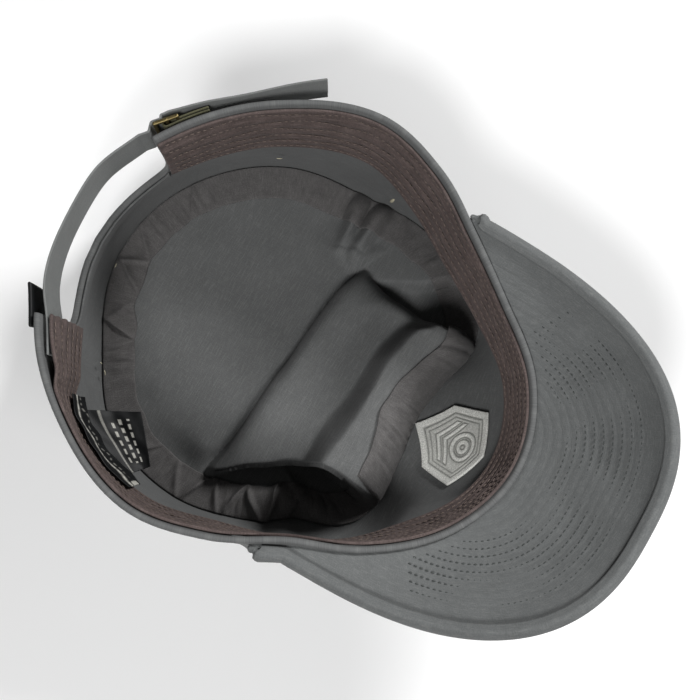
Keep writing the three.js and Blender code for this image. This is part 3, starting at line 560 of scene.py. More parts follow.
def stitches(path, normals, c):
    # Thread stitches along a line: each a short closed body whose half width at t of its half
    # length is sqrt(1 - t^2), dipping at its ends
    run = lengths(path, 0)
    count = max(int(run[-1] / c["pitch"]), 1)
    at = (np.arange(count) + 0.5) * run[-1] / count
    sample = lambda grid, s: np.stack([np.interp(s, run, grid[:, k]) for k in range(3)], -1)
    centre, up = sample(path, at), unit(sample(normals, at))
    step = stitchForm["slopeStep"]
    tangent = unit(sample(path, at + step) - sample(path, at - step))
    side = unit(np.cross(up, tangent))
    t, sides = np.array(stitchForm["sections"]), stitchForm["sides"]
    spread = np.sqrt(1 - t**2)[:, None]
    turn = np.radians(360 * np.arange(sides) / sides)
    wide, high = spread * np.cos(turn) * c["width"] / 2, spread * np.sin(turn) * c["height"] / 2
    high = high - stitchForm["dip"] * c["height"] * t[:, None] ** 2
    points = (centre[:, None, None] + tangent[:, None, None] * (t[:, None, None] * c["length"] / 2)
              + side[:, None, None] * wide[..., None] + up[:, None, None] * high[..., None])
    index = np.arange(count * len(t) * sides).reshape(count, len(t), sides)
    around = np.roll(index, -1, 2)
    faces = np.stack([index[:, :-1], index[:, 1:], around[:, 1:], around[:, :-1]], -1).reshape(-1, 4)
    caps = [index[:, end][:, corners] for end, corners in (
        (0, [0, 1, 2, 3]), (0, [0, 3, 4, 5]), (-1, [3, 2, 1, 0]), (-1, [5, 4, 3, 0]))]
    faces = np.concatenate([faces, *caps])
    uv = np.zeros((index.size, 2))
    uv[:, 0] = np.repeat(at, len(t) * sides)
    return dict(points=points.reshape(-1, 3), faces=faces, uv=uv, places=faces)


# Materials

def srgb(text):
    # sRGB hex to linear: c / 12.92 below 0.04045, else ((c + 0.055) / 1.055) ^ 2.4
    c = np.array([int(text[i:i + 2], 16) for i in (1, 3, 5)]) / 255
    return (*np.where(c <= 0.04045, c / 12.92, ((c + 0.055) / 1.055) ** 2.4), 1.0)


def addNode(tree, kind, settings=None, **sockets):
    # One node, with settings on the node and values or (node, output) links on its sockets.
    # Socket names are given with _ for spaces; in0, in1 and so on take them by number.
    node = tree.nodes.new("ShaderNode" + kind)
    for key, value in (settings or {}).items():
        setattr(node, key, value)
    for key, value in sockets.items():
        numbered = key.startswith("in") and key[2:].isdigit()
        socket = node.inputs[int(key[2:])] if numbered else node.inputs[key.replace("_", " ")]
        if isinstance(value, tuple) and len(value) == 2 and hasattr(value[0], "outputs"):
            tree.links.new(value[0].outputs[value[1]], socket)
        else:
            socket.default_value = value
    return node


def newMaterial(name):
    material = bpy.data.materials.new(name)
    material.use_nodes = True
    return material, material.node_tree, material.node_tree.nodes["Principled BSDF"]


def mixColours(tree, factor, first, second, blend="MIX"):
    settings = dict(data_type="RGBA", blend_type=blend)
    return addNode(tree, "Mix", settings, in0=factor, in6=first, in7=second), 2


def calculated(tree, operation, *values):
    numbered = {f"in{k}": value for k, value in enumerate(values)}
    return addNode(tree, "Math", dict(operation=operation), **numbered), 0


def dressed(tree, shader, shade, height, relief, depth, **sockets):
    # Colour and relief onto the shader, and plain values onto its other sockets (_ for spaces)
    tree.links.new(shade[0].outputs[shade[1]], shader.inputs["Base Color"])
    bump = addNode(tree, "Bump", None, Height=height, Strength=relief, Distance=depth)
    tree.links.new(bump.outputs[0], shader.inputs["Normal"])
    for key, value in sockets.items():
        shader.inputs[key.replace("_", " ")].default_value = value


# Shared by the materials: the parts of the noises that become streaks and threads, how fine the
# noises are, and how deep their relief is in m
weaving = dict(
    streak=(0.5, 0.78), streakRelief=1.2, thread=(0.3, 0.7), threadDetail=3.0, mottleDetail=4.0,
    noiseRoughness=0.6, sheenRoughness=0.5, depth=0.0003, plainDetail=3.0, plainDepth=0.0002,
    twoToneDetail=2.0,
)


def stretchedNoise(tree, threads, size, detail=2.0):
    # Noise on the thread map, stretched to size = (along, across) in millimetres
    placed = addNode(tree, "Mapping", None, Vector=threads, Scale=(1 / size[0], 1 / size[1], 1)), 0
    return addNode(tree, "TexNoise", dict(noise_dimensions="2D"), Vector=placed, Scale=1.0,
                   Detail=detail, Roughness=weaving["noiseRoughness"]), 0


def grainNoise(tree, size, detail):
    # Noise in the object's own space, with grains of a size in millimetres
    place = addNode(tree, "TexCoord"), 3
    return addNode(tree, "TexNoise", None, Vector=place, Scale=1 / (size * metre), Detail=detail), 0


def ramped(tree, factor, low, high):
    return addNode(tree, "MapRange", dict(clamp=True), in0=factor, in1=low, in2=high), 0


def wovenCloth(name, c):
    # Woven cotton: a mottle of two colours, darker between its threads, with thicker threads both
    # ways that are paler and stand up
    material, tree, shader = newMaterial(name)
    threads = addNode(tree, "UVMap", dict(uv_map=threadMap)), 0
    streaks = []
    for size, part in (((c["slub"], c["thread"]), c["warp"]), ((c["thread"], c["slub"]), c["weft"])):
        noise = ramped(tree, stretchedNoise(tree, threads, size), *weaving["streak"])
        streaks.append(calculated(tree, "MULTIPLY", noise, part))
    streak = calculated(tree, "ADD", *streaks)
    weave = stretchedNoise(tree, threads, (c["thread"],) * 2, weaving["threadDetail"])
    mottle = stretchedNoise(tree, threads, (c["mottle"],) * 2, weaving["mottleDetail"])
    shade = mixColours(tree, mottle, srgb(c["dark"]), srgb(c["light"]))
    between = mixColours(tree, c["weave"], shade, srgb("#000000"))
    shade = mixColours(tree, ramped(tree, weave, *weaving["thread"]), between, shade)
    shade = mixColours(tree, streak, shade, srgb(c["slubColour"]))
    relief = calculated(tree, "MULTIPLY_ADD", streak, weaving["streakRelief"], weave)
    dressed(tree, shader, shade, relief, c["relief"], weaving["depth"], Roughness=c["roughness"],
            Specular_IOR_Level=c["gloss"], Sheen_Weight=c["sheen"],
            Sheen_Roughness=weaving["sheenRoughness"])
    return material


clothFinish = dict(
    dark="#5b5c5c", light="#686969", slubColour="#8c8d8b", slub=6.0, thread=0.5, mottle=18.0,
    warp=0.22, weft=0.1, weave=0.22, relief=0.25, roughness=0.9, gloss=0.2, sheen=0.06,
)
peakFinish = dict(clothFinish, dark="#5f6161", light="#6b6d6d", slub=4.0, mottle=9.0)
tapeFinish = dict(
    dark="#4f4d4d", light="#6a6867", slubColour="#858382", slub=4.0, thread=0.5, mottle=7.0,
    warp=0.1, weft=0.22, weave=0.35, relief=0.4, roughness=0.88, gloss=0.22, sheen=0.05,
)
sweatbandFinish = dict(
    dark="#4a403e", light="#655855", slubColour="#7d706c", slub=7.0, thread=0.6, mottle=9.0,
    warp=0.4, weft=0.12, weave=0.4, relief=0.4, roughness=0.86, gloss=0.25, sheen=0.05,
)
# The strap's cloth is the crown's cloth made paler, which paints light onto the strap.
strapPaintedLightFinish = dict(clothFinish, dark="#6d6f6e", light="#7c7e7d")
loopFinish = dict(tapeFinish, dark="#4a4936", light="#605f49", slubColour="#7a795f")


def plainFinish(name, c):
    # A dyed or cast surface with a fine grain
    material, tree, shader = newMaterial(name)
    noise = grainNoise(tree, c["grain"], weaving["plainDetail"])
    dark = tuple(c["shadow"] * v for v in srgb(c["colour"])[:3]) + (1.0,)
    shade = mixColours(tree, noise, dark, srgb(c["colour"]))
    gloss = dict(Specular_IOR_Level=c["gloss"]) if "gloss" in c else {}
    dressed(tree, shader, shade, noise, c["relief"], weaving["plainDepth"],
            Roughness=c["roughness"], Metallic=c["metallic"], **gloss)
    return material


def twoTone(name, c):
    # Colour between two threads by an attribute of the mesh, with a fine thread grain
    material, tree, shader = newMaterial(name)
    share = addNode(tree, "Attribute", dict(attribute_name=c["key"])), 2
    noise = grainNoise(tree, c["grain"], weaving["twoToneDetail"])
    shade = mixColours(tree, share, srgb(c["low"]), srgb(c["high"]))
    between = (c["shadow"],) * 3 + (1,)
    grained = mixColours(tree, ramped(tree, noise, *weaving["thread"]), between, (1, 1, 1, 1))
    shade = mixColours(tree, 1.0, shade, grained, "MULTIPLY")
    dressed(tree, shader, shade, noise, c["relief"], weaving["depth"], Roughness=c["roughness"],
            Specular_IOR_Level=c["gloss"])
    return material


brassFinish = dict(colour="#8d7f58", shadow=0.72, roughness=0.5, metallic=1.0, grain=0.8, relief=0.2)
threadFinish = dict(colour="#73665f", shadow=0.72, roughness=0.8, metallic=0.0, grain=0.3,
                    relief=0.3, gloss=0.3)
labelFinish = dict(low="#0b0d0f", high="#dddbd2", key="mark", shadow=0.55, roughness=0.55,
                   grain=0.4, relief=0.25, gloss=0.3)
patchFinish = dict(labelFinish, low="#8f908b", high="#f4f4ee", key="raised", roughness=0.6,
                   grain=0.45, relief=0.6)


cotton = wovenCloth("ripstopCotton", clothFinish)
peakCotton = wovenCloth("peakCotton", peakFinish)
bindingCotton = wovenCloth("bindingCotton", tapeFinish)
sweatbandTwill = wovenCloth("sweatbandTwill", sweatbandFinish)
# Strap material: the crown's cloth made paler, painted light on the strap.
strapCotton = wovenCloth("strapCotton", strapPaintedLightFinish)
oliveWebbing = wovenCloth("oliveWebbing", loopFinish)
agedBrass = plainFinish("agedBrass", brassFinish)
paleThread = plainFinish("paleThread", dict(threadFinish, colour="#b9b39c", grain=0.4))
bandThread = plainFinish("bandThread", threadFinish)
darkThread = plainFinish("darkThread", dict(threadFinish, colour="#4b4e4d", gloss=0.2))
labelSatin = twoTone("labelSatin", labelFinish)
silverThread = twoTone("silverThread", patchFinish)


# Crown side

sideGrid = dict(lines=560, gapLines=120, edgeRows=14, edgeZone=11.0, rows=34, edgeSteps=4)
gapReach = planReach(sidePoint(crown["gapBearing"], 0.0))
gapHalf = math.degrees(math.asin(crown["gapWidth"] / 2 / gapReach))
gapEnd = crown["gapBearing"] + gapHalf


def roundFromGap(start, share):
    # Bearing at a share of the way round, from one side of the gap to the other
    return crown["gapBearing"] + start + (360 - 2 * start) * share


def sideLines(lines, gapLines):
    # Where each line down the side starts, on the rim or on the gap's squarish oval edge, and the
    # bearing at which it meets the seam
    fromGap = gapHalf + (360 - 2 * gapHalf) * np.arange(lines + 1) / lines
    nearer = np.minimum(fromGap, 360 - fromGap)
    spread = crown["gapFan"] * (1 - smoothstep(nearer, gapHalf, crown["gapFanReach"]))
    bearing = crown["gapBearing"] + fromGap
    seam = bearing + np.where(fromGap < 180, 1, -1) * spread
    angle = np.pi * np.arange(1, gapLines) / gapLines
    power = 2 / crown["gapPower"]
    across = np.sign(np.cos(angle)) * np.abs(np.cos(angle)) ** power
    gapBearings = crown["gapBearing"] + 360 - gapHalf * across
    gapSeams = crown["gapBearing"] + 360 \
        - (gapHalf + crown["gapFan"]) * (1 - 2 * np.arange(1, gapLines) / gapLines)
    gapDepths = crown["gapDepth"] / crown["height"] * np.sin(angle) ** power
    return (np.concatenate([bearing, gapBearings]), np.concatenate([0 * bearing, gapDepths]),
            np.concatenate([seam, gapSeams]))


def makeCrownSide(c):
    # Lines down the side, with close rows where the hem's thickness falls to the cloth's
    first, depth, last = (a[:, None] for a in sideLines(c["lines"], c["gapLines"]))
    lineLength = np.linalg.norm(sidePoint(last, 1.0) - sidePoint(first, depth), axis=-1)
    near = np.linspace(0, c["edgeZone"], c["edgeRows"])[None] / lineLength
    edge = near[:, -1:]
    rest = np.linspace(0, 1, c["rows"] + 1)[None, 1:]
    share = np.concatenate([near, edge + (1 - edge) * rest], 1)
    bearings, depths = first + (last - first) * share, depth + (1 - depth) * share
    fromEdge = share * lineLength
    thin = smoothstep(fromEdge, crown["hemWidth"], crown["hemWidth"] + crown["hemStep"])
    thickness = crown["hem"] + (crown["cloth"] - crown["hem"]) * thin
    inner, outer = sheet(sidePoint(bearings, depths), sideNormal(bearings, depths), 0.0, thickness,
                         looped=True, steps=c["edgeSteps"])
    radius = crown["mouthWidth"] / 2
    uv = carried(np.stack([np.radians(bearings) * radius, fromEdge], -1), True, c["edgeSteps"])
    close = uv[:1].copy()
    close[..., 0] += 2 * np.pi * radius
    addPiece("crown_side_cloth", [solid(inner, outer, np.concatenate([uv, close]), True)],
             cotton, "crown_side")


# Crown top

topGrid = dict(steps=220, under=1.2, sink=0.3, sinkFrom=0.985, rimFrom=0.93)


def makeCrownTop(c):
    # A square grid bent to a disc, (a sqrt(1 - b^2 / 2), b sqrt(1 - a^2 / 2)), then to the seam
    a, b = np.meshgrid(*[np.linspace(-1, 1, c["steps"] + 1)] * 2, indexing="ij")
    onDisc = a * np.sqrt(1 - b**2 / 2), b * np.sqrt(1 - a**2 / 2)
    share = np.minimum(np.hypot(*onDisc), 1)
    direction = bearingOf(*onDisc)
    x, y = fromTopMiddle(direction, (topEdge(direction)[0] + c["under"]) * share)
    height = topHeight(x, y) - c["sink"] * smoothstep(share, c["sinkFrom"], 1)
    # The left end of the raised cloth hangs over its pocket, and the cheek over the right one
    left, right = pocketSides(x, y)
    raised = smoothstep(height, *overhang["leftHeights"]) * (1 - share ** overhang["rimPower"])
    fade = lambda inside: np.exp(-np.maximum(inside - pocket["softness"], 0) / overhang["fade"])
    hung = x - raised * overhang["left"] * left * fade(x - pocketLine("left", y))
    past = x - pocketLine("cheek", y)
    cheek = cheekRise(past) * fade(past) * pocketLine("cheekHeight", y) / overhang["cheekHeight"]
    hung = hung - overhang["cheek"] * cheek
    # The roll also leans back over the crease
    past = readTable(buckleLines, "x", "crease", x) - y
    lean = smoothstep(past, 0, overhang["creaseStart"]) \
        * np.exp(-np.maximum(past, 0) / overhang["creaseFade"])
    lean = lean * smoothstep(height, *overhang["creaseHeights"]) * left * right
    points = np.stack([hung, y + overhang["crease"] * lean, height], -1)
    normals = gridNormals(points)
    rim = smoothstep(share, c["rimFrom"], 1)[..., None]
    normals = unit(normals * (1 - rim) + topNormal(x, y) * rim)
    addPiece("crown_top_cloth", [solid(points - normals * crown["cloth"], points, np.stack([x, y], -1))],
             cotton, "crown_top")


# Tape over the seam between side and top

# Radius is the circle on which the ripples of the tape are laid out, in mm
seamTape = dict(
    width=14.5, thickness=0.9, setback=1.0, lines=900, rows=14, radius=85.0,
    waver=0.5, waverSize=22.0, runSize=45.0, runs=(-0.6, 1.2), edgeShare=0.3, steepSide=3.0,
    gather=0.75, gatherSize=9.0, gatherSlant=0.3, fine=0.5, fineSize=4.5, fineSlant=0.2,
)
# Tucks across the tape: direction from the top's middle, slant and half width in degrees, and height
tucks = dict(
    direction=[172, 179, 184, 197, 203, 209, 151, 247, 262, 269, 277, 284, 291, 298, 306, 74],
    slant=[7, -5, 9, -8, 6, -4, 6, 5, -6, 5, -4, 6, -6, 4, 8, -6],
    half=[1.6, 1.2, 1.8, 1.5, 1.2, 1.6, 1.5, 1.4, 1.7, 1.9, 1.5, 2, 1.8, 1.9, 1.6, 1.5],
    height=[1.4, 1.7, 2, 1.8, 2.1, 1.4, 1.2, 1.4, 1.6, 2.4, 2, 2.8, 2.4, 2.8, 1.6, 1.3],
)


def makeSeamTape(c):
    direction = 360 * np.arange(c["lines"])[:, None] / c["lines"]
    across = np.linspace(0, 1, c["rows"])[None]
    around = c["radius"] * np.cos(np.radians(direction)), c["radius"] * np.sin(np.radians(direction))
    # Inner edge wavers, and gathers run across the tape
    width = c["width"] + c["waver"] * ripple(seeds["tapeEdge"], c["waverSize"], *around)
    fromEdge = c["setback"] + (width - c["setback"]) * across
    points, normals = topPlace(direction + 0 * fromEdge, fromEdge)
    gathers = np.abs(ripple(seeds["gathers"], c["gatherSize"], *around, fromEdge * c["gatherSlant"]))
    gathers = gathers + c["fine"] * np.abs(
        ripple(seeds["fineGathers"], c["fineSize"], *around, fromEdge * c["fineSlant"]))
    gathers = gathers * smoothstep(ripple(seeds["gatherRuns"], c["runSize"], *around), *c["runs"])
    # A tuck rises slowly, as exp(-t^2), and falls three times as fast on its other side
    folded = 0 * fromEdge
    for middle, slant, half, height in zip(*tucks.values()):
        t = wrapped(direction - middle - slant * (across - 0.5)) / half
        folded = folded + height * np.exp(-np.where(t < 0, t, c["steepSide"] * t) ** 2)
    inside = c["edgeShare"] + (1 - c["edgeShare"]) * np.sin(np.pi * across)
    lift = crown["gap"] + (c["gather"] * gathers + folded) * inside
    near, far = sheet(points, normals, lift, lift + c["thickness"], looped=True)
    addPiece("seam_tape_cotton", [solid(near, far, looped=True)], bindingCotton,
             "seam_tape")


# Sweatband

sweatband = dict(width=30.0, thickness=1.2, inset=1.6, setback=0.4, lines=640, rows=40,
                 ridges=6, ridgeHeight=0.3, standPower=1.5,
                 swell=0.25, swellSize=14.0, swellRadius=90.0, swellAcross=60.0)
# Solid is the thickness that sets how far the strap stands off the bars. Inserted is its sewn end in
# degrees past the gap, and the sweatband leaves room for it.
strap = dict(width=16.0, thickness=0.9, solid=1.2, belowRim=9.0, lean=5.0, sewnLean=9.0,
             inserted=9.0, roomSpare=3.0, roomFade=6.0, roomGaps=5, edgeSpare=0.5)


def sweatbandStand(bearing, share):
    # Distance from the side's inner face: room for the strap's sewn end, and the stand-off that
    # grows with the share of the width to the power 1.5
    standOff = np.maximum(readTable(crownSections, "bearing", "standOff", bearing, 360), 0)
    past = strap["inserted"] + strap["roomSpare"]
    room = strap["solid"] + strap["roomGaps"] * crown["gap"]
    room = room * (1 - smoothstep(bearing - gapEnd, past, past + strap["roomFade"]))
    return crown["gap"] + room + standOff * sweatband["width"] * share ** sweatband["standPower"]


def makeSweatband(c):
    # Lengthwise ridges, cos(2 pi ridges share), between flat edges, with a soft swell
    along, share = evenGrid(c["lines"] + 1, c["rows"])
    bearing = roundFromGap(gapHalf + c["setback"], along)
    depth = (c["inset"] + c["width"] * share) / crown["height"]
    points, normals = wallPoints(bearing, depth, sweatbandStand(bearing, share))
    ridge = np.cos(2 * np.pi * c["ridges"] * share) * c["ridgeHeight"]
    swell = c["swell"] * ripple(seeds["band"], c["swellSize"], np.radians(bearing) * c["swellRadius"],
                                share * c["swellAcross"])
    near, far = sheet(points, normals, 0.0, c["thickness"] + ridge + swell * np.sin(np.pi * share))
    addPiece("sweatband_twill", [solid(near, far)], sweatbandTwill, "sweatband")


bandSewing = dict(
    rows=(0.05, 0.22, 0.4, 0.58, 0.76, 0.95), pitch=2.6, length=1.9, width=0.5, height=0.45,
    waver=0.5, waverSize=30.0, perDegree=1.6, setback=1.0, samples=900, ridgeShare=0.6,
)


def makeBandSewing(c):
    # Lengthwise rows of stitches through the sweatband, each wavering a little
    bodies = []
    start = gapHalf + sweatband["setback"] + c["setback"]
    bearing = roundFromGap(start, np.linspace(0, 1, c["samples"]))
    for row, share in enumerate(c["rows"]):
        waver = c["waver"] * ripple(seeds["bandRows"] + row, c["waverSize"], bearing * c["perDegree"])
        depth = (sweatband["inset"] + sweatband["width"] * share + waver) / crown["height"]
        face = sweatband["thickness"] + sweatband["ridgeHeight"] * c["ridgeShare"]
        bodies.append(stitches(*wallPoints(bearing, depth, sweatbandStand(bearing, share) + face), c))
    addPiece("sweatband_stitching", bodies, bandThread)


# Loose thread ends caught on the band and the tape: stand is mm in from the side, turn is their slope
looseThreads = (
    dict(bearing=87.5, depth=0.36, stand=7.0, turn=70.0, length=7.0, width=1.5),
    dict(bearing=213.0, depth=0.93, stand=3.0, turn=20.0, length=2.6, width=0.8),
    dict(bearing=210.5, depth=0.9, stand=2.6, turn=80.0, length=2.2, width=0.8),
    dict(bearing=183.0, depth=0.92, stand=2.5, turn=0.0, length=2.2, width=0.7),
    dict(bearing=127.0, depth=0.6, stand=1.5, turn=0.0, length=2.8, width=0.8),
)
threadForm = dict(points=9, perDegree=1.5, bow=1 / 3, flat=0.6)  # flat is height over width


def makeLooseThreads(threads):
    # Each a short strand that bows away from the cloth by 1 - t^2 of a third of its length
    bodies = []
    for thread in threads:
        t = np.linspace(-1, 1, threadForm["points"])
        turn, half = math.radians(thread["turn"]), thread["length"] / 2
        bearing = thread["bearing"] + t * half * math.cos(turn) / threadForm["perDegree"]
        depth = thread["depth"] + t * half * math.sin(turn) / crown["height"]
        bow = thread["stand"] + thread["length"] * threadForm["bow"] * (1 - t**2)
        one = dict(thread, pitch=thread["length"], height=thread["width"] * threadForm["flat"])
        bodies.append(stitches(*wallPoints(bearing, depth, bow), one))
    addPiece("loose_threads", bodies, paleThread)


# Facing inside the gap's edge

gapFacing = dict(width=9.0, thickness=1.0, setback=0.6, belowBand=2.0, rows=9)


def makeGapFacing(c):
    # A strip inside the side along the gap's edge, below the sweatband
    first, depth, last = sideLines(sideGrid["lines"], sideGrid["gapLines"])
    highest = (sweatband["inset"] + sweatband["width"] + c["belowBand"]) / crown["height"]
    kept = depth > highest
    first, depth, last = (a[kept][:, None] for a in (first, depth, last))
    lineLength = np.linalg.norm(sidePoint(last, 1.0) - sidePoint(first, depth), axis=-1)
    share = np.linspace(c["setback"], c["width"], c["rows"])[None] / lineLength
    bearings, depths = first + (last - first) * share, depth + (1 - depth) * share
    near, far = sheet(*wallPoints(bearings, depths, 0.0), crown["gap"], crown["gap"] + c["thickness"])
    addPiece("gap_facing_cloth", [solid(near, far)], cotton, "gap_facing")


# Peak

# Turn is the angle about the middle of the peak's widest line, 0 straight ahead. Solve is how a
# ray's place on the hem is found: first guess and step as shares, and the number of steps.
peak = dict(
    width=149.0, length=102.3, widestAt=45.0, shift=-0.9, power=2.5, thickness=3.2,
    firstTurn=-104.5, lastTurn=97.5, cornerWidth=4.0, tuck=3.0, tuckShare=0.04,
    drop=2.2, slopeMiddle=0.75, slopeEnd=0.5, sag=3.0, lines=330, rows=110, underHem=2.4,
    swell=0.35, swellSize=30.0, solveGuess=0.7, solveStep=0.6, solveCount=14,
    stitchRow=3.9, stitchFrom=12.0, stitchFade=2.0, stitchDip=0.1,
)
peakMiddle = np.array([peak["shift"], -peak["widestAt"]])


def peakStart(turn):
    # Where a ray from the middle of the peak's widest line leaves the crown's hem, found by steps
    bearing = turn * peak["solveGuess"]
    away = crown["hem"] + crown["gap"] + peak["thickness"] / 2
    for _ in range(peak["solveCount"]):
        out = sideNormal(bearing, 0.0) * (1, 1, 0)
        start = sidePoint(bearing, 0.0) + unit(out) * away
        found = bearingOf(start[..., 0] - peakMiddle[0], start[..., 1] - peakMiddle[1])
        bearing = bearing + (turn - found) * peak["solveStep"]
    return start - (0, 0, peak["drop"])


def peakReach(turn):
    # Superellipse: (|sin t / half width|^p + |cos t / length|^p)^(-1/p)
    t = np.radians(turn)
    wide, long = np.abs(np.sin(t)) / (peak["width"] / 2), np.abs(np.cos(t)) / peak["length"]
    return (wide ** peak["power"] + long ** peak["power"]) ** (-1 / peak["power"])


def peakPoint(turn, outward):
    # From the hem out to the superellipse, rising by the slope and sagging by 4 t (1 - t). Near
    # both ends the width falls to a small share.
    start = peakStart(turn)
    rim = np.hypot(start[..., 0] - peakMiddle[0], start[..., 1] - peakMiddle[1])
    run = np.maximum(peakReach(turn) - rim, peak["cornerWidth"])
    full = smoothstep(peak["lastTurn"] - turn, 0, peak["tuck"]) \
        * smoothstep(turn - peak["firstTurn"], 0, peak["tuck"])
    run = run * (peak["tuckShare"] + (1 - peak["tuckShare"]) * full)
    away = polar(turn, rim + run * outward, 0)
    forward = np.cos(np.radians(turn)) ** 2
    slope = peak["slopeEnd"] + (peak["slopeMiddle"] - peak["slopeEnd"]) * forward
    inside = np.clip(outward, 0, 1)
    height = start[..., 2] + slope * run * outward - 4 * peak["sag"] * inside * (1 - inside) * forward
    return np.stack([peakMiddle[0] + away[..., 0], peakMiddle[1] + away[..., 1], height], -1)


def peakNormal(turn, outward):
    # Upward direction: the slope along the edge crossed with the slope outwards
    step, share = slopeStep["degrees"], slopeStep["share"]
    along = peakPoint(turn + step, outward) - peakPoint(turn - step, outward)
    return upward(np.cross(along, peakPoint(turn, outward + share) - peakPoint(turn, outward - share)))


def peakGrid(lines, rows):
    # The inner edge runs on under the hem, where it is sewn
    along, outward = evenGrid(lines, rows)
    turn = peak["firstTurn"] + (peak["lastTurn"] - peak["firstTurn"]) * along
    reach = planReach(peakPoint(turn[:, :1], 1.0) - peakPoint(turn[:, :1], 0.0))
    outward = outward - (1 - outward) * peak["underHem"] / reach
    return outward, peakPoint(turn, outward), peakNormal(turn, outward)


def makePeak(c):
    # Each row of stitches pulls the cloth in, by cos(pi t)^6 at t rows from it
    outward, points, normals = peakGrid(c["lines"], c["rows"])
    run, edgeLength = lengths(points, 1), lengths(points, 0)[:, -1:]
    fromEdge = run[:, -1:] - run
    rowAt = (fromEdge - c["stitchFrom"]) / c["stitchRow"]
    quilted = smoothstep(fromEdge, c["stitchFrom"] - c["stitchFade"], c["stitchFrom"])
    dip = c["stitchDip"] * quilted * np.cos(np.pi * rowAt) ** 6
    swell = c["swell"] * ripple(seeds["peak"], c["swellSize"], points[..., 0], points[..., 1])
    points = points + normals * (swell * np.sin(np.pi * outward))[..., None]
    half = c["thickness"] / 2 - dip
    near, far = sheet(points, normals, -half, half)
    uv = np.stack([edgeLength + 0 * fromEdge, fromEdge], -1)
    addPiece("peak_cloth", [solid(near, far, carried(uv))], peakCotton, "peak")


peakSewing = dict(turnLimit=58.0, samples=240, pitch=2.3, length=1.5, width=0.55, height=0.5, rows=9,
                  leastOutward=0.06, leastSamples=12, dipShare=0.6)


def makePeakSewing(c):
    # Rows of small stitches at even distances in from the peak's edge, on both faces
    bodies = []
    turn = np.linspace(-c["turnLimit"], c["turnLimit"], c["samples"])
    run = np.linalg.norm(peakPoint(turn, 1.0) - peakPoint(turn, 0.0), axis=-1)
    above = peak["thickness"] / 2 - peak["stitchDip"] * c["dipShare"]
    for row in range(c["rows"]):
        outward = 1 - (peak["stitchFrom"] + row * peak["stitchRow"]) / run
        kept = outward > c["leastOutward"]
        if kept.sum() >= c["leastSamples"]:
            path, normals = peakPoint(turn[kept], outward[kept]), peakNormal(turn[kept], outward[kept])
            bodies += [stitches(path + side * normals * above, side * normals, c) for side in (1, -1)]
    addPiece("peak_stitching", bodies, darkThread)


# Short is how many degrees it stops short of the peak's ends, and the tips are its reach past the edge
binding = dict(width=3.0, thickness=1.0, short=2.0, lines=420, steps=7, legPoints=5,
               innerTip=0.6, outerTip=1.7)


def makePeakBinding(c):
    # A channel profile carried round the peak's edge: two legs and a half round between them
    first, last = peak["firstTurn"] + c["short"], peak["lastTurn"] - c["short"]
    turn = np.linspace(first, last, c["lines"])
    edge, normal = peakPoint(turn, 1.0), peakNormal(turn, 1.0)
    along = unit(np.gradient(edge, axis=0))
    out = unit(np.cross(along, normal))
    out *= np.sign((out[:, :2] * edge[:, :2]).sum(1))[:, None]

    def channel(half, tip):
        # Legs at plus and minus half from -width to the edge, joined by half an oval
        legs = np.linspace(-c["width"], 0, c["legPoints"])
        angle = np.radians(np.linspace(-90, 90, c["steps"] + 2)[1:-1])
        outs = np.concatenate([legs, tip * np.cos(angle), legs[::-1]])
        ups = np.concatenate([0 * legs - half, half * np.sin(angle), 0 * legs + half])
        return edge[:, None] + out[:, None] * outs[:, None] + normal[:, None] * ups[:, None]

    near = peak["thickness"] / 2 + crown["gap"]
    body = solid(channel(near, c["innerTip"]), channel(near + c["thickness"], c["outerTip"]))
    addPiece("peak_binding_cloth", [body], peakCotton, "peak_binding")


# Strap, buckle and loop

buckle = dict(
    loopBearing=151.8, loopWidth=14.0, loopPly=1.0, loopCloth=0.7, loopLength=17.0, loopBend=4.0,
    loopRows=17, plyPoints=24, eyePoints=15, length=10.5, thickness=1.5, bar=1.4, middleBar=-0.3,
    clearance=0.4, turn=12.0, slotSpare=0.3, approach=2.0,
)
# Ways of the strap over the gap and of its free end: shares of the way, and reach over the mouth's
strapRoute = dict(
    along=[0, .25, .65, 1], bearing=[200, 193, 180, 169], reach=[1.012, 1.018, 1.021, 1.042])
tailRoute = dict(
    along=[0, .3, .6, 1], bearing=[143, 134, 126, 114], reach=[1.036, 1.025, 1.045, 1.1])

strapHeight = crown["height"] - strap["belowRim"]
strapPoints = dict(sewn=10, over=40, woven=60, tail=50, rows=21)
# Averaging of the strap's line in mm: step, spread, reach in spreads, and distances from the buckle
# over which it fades in
strapEase = dict(step=0.6, spread=7.0, cut=3, fade=(8.0, 17.0))
strapEdge = dict(inset=1.6, width=0.5, height=0.12)  # the stitched ridge along both edges, mm
loopRadius = buckle["bar"] * math.sqrt(0.5) + buckle["clearance"] / 2 + buckle["loopPly"]
loopBar = -(buckle["length"] - buckle["bar"]) / 2


def leanedAxes(bearing):
    # Axes of the strap at a bearing: along it, up its width and outwards, leaning out a little
    sewn = smoothstep(bearing, crown["gapBearing"], gapEnd)
    lean = np.radians(strap["lean"] + (strap["sewnLean"] - strap["lean"]) * sewn)
    out = polar(bearing, 1.0, 0.0)
    up = out * np.sin(lean)[..., None]
    up[..., 2] = np.cos(lean)
    along = np.cross(up, unit(out - up * (out * up).sum(-1, keepdims=True)))
    return along, up, np.cross(along, up)


def loopReach(bearing):
    return planReach(sidePoint(bearing, 0.0)) + crown["hem"] + crown["gap"] + loopRadius


def turnedAbout(v, axis, angle):
    # Rotation about an axis: v cos t + (axis x v) sin t + axis (axis . v)(1 - cos t)
    return v * math.cos(angle) + np.cross(axis, v) * math.sin(angle) \
        + axis * (axis * v).sum(-1, keepdims=True) * (1 - math.cos(angle))


def buckleAxes():
    along, up, out = leanedAxes(np.array(buckle["loopBearing"]))
    angle = -math.radians(buckle["turn"])
    return turnedAbout(along, up, angle), up, turnedAbout(out, up, angle)


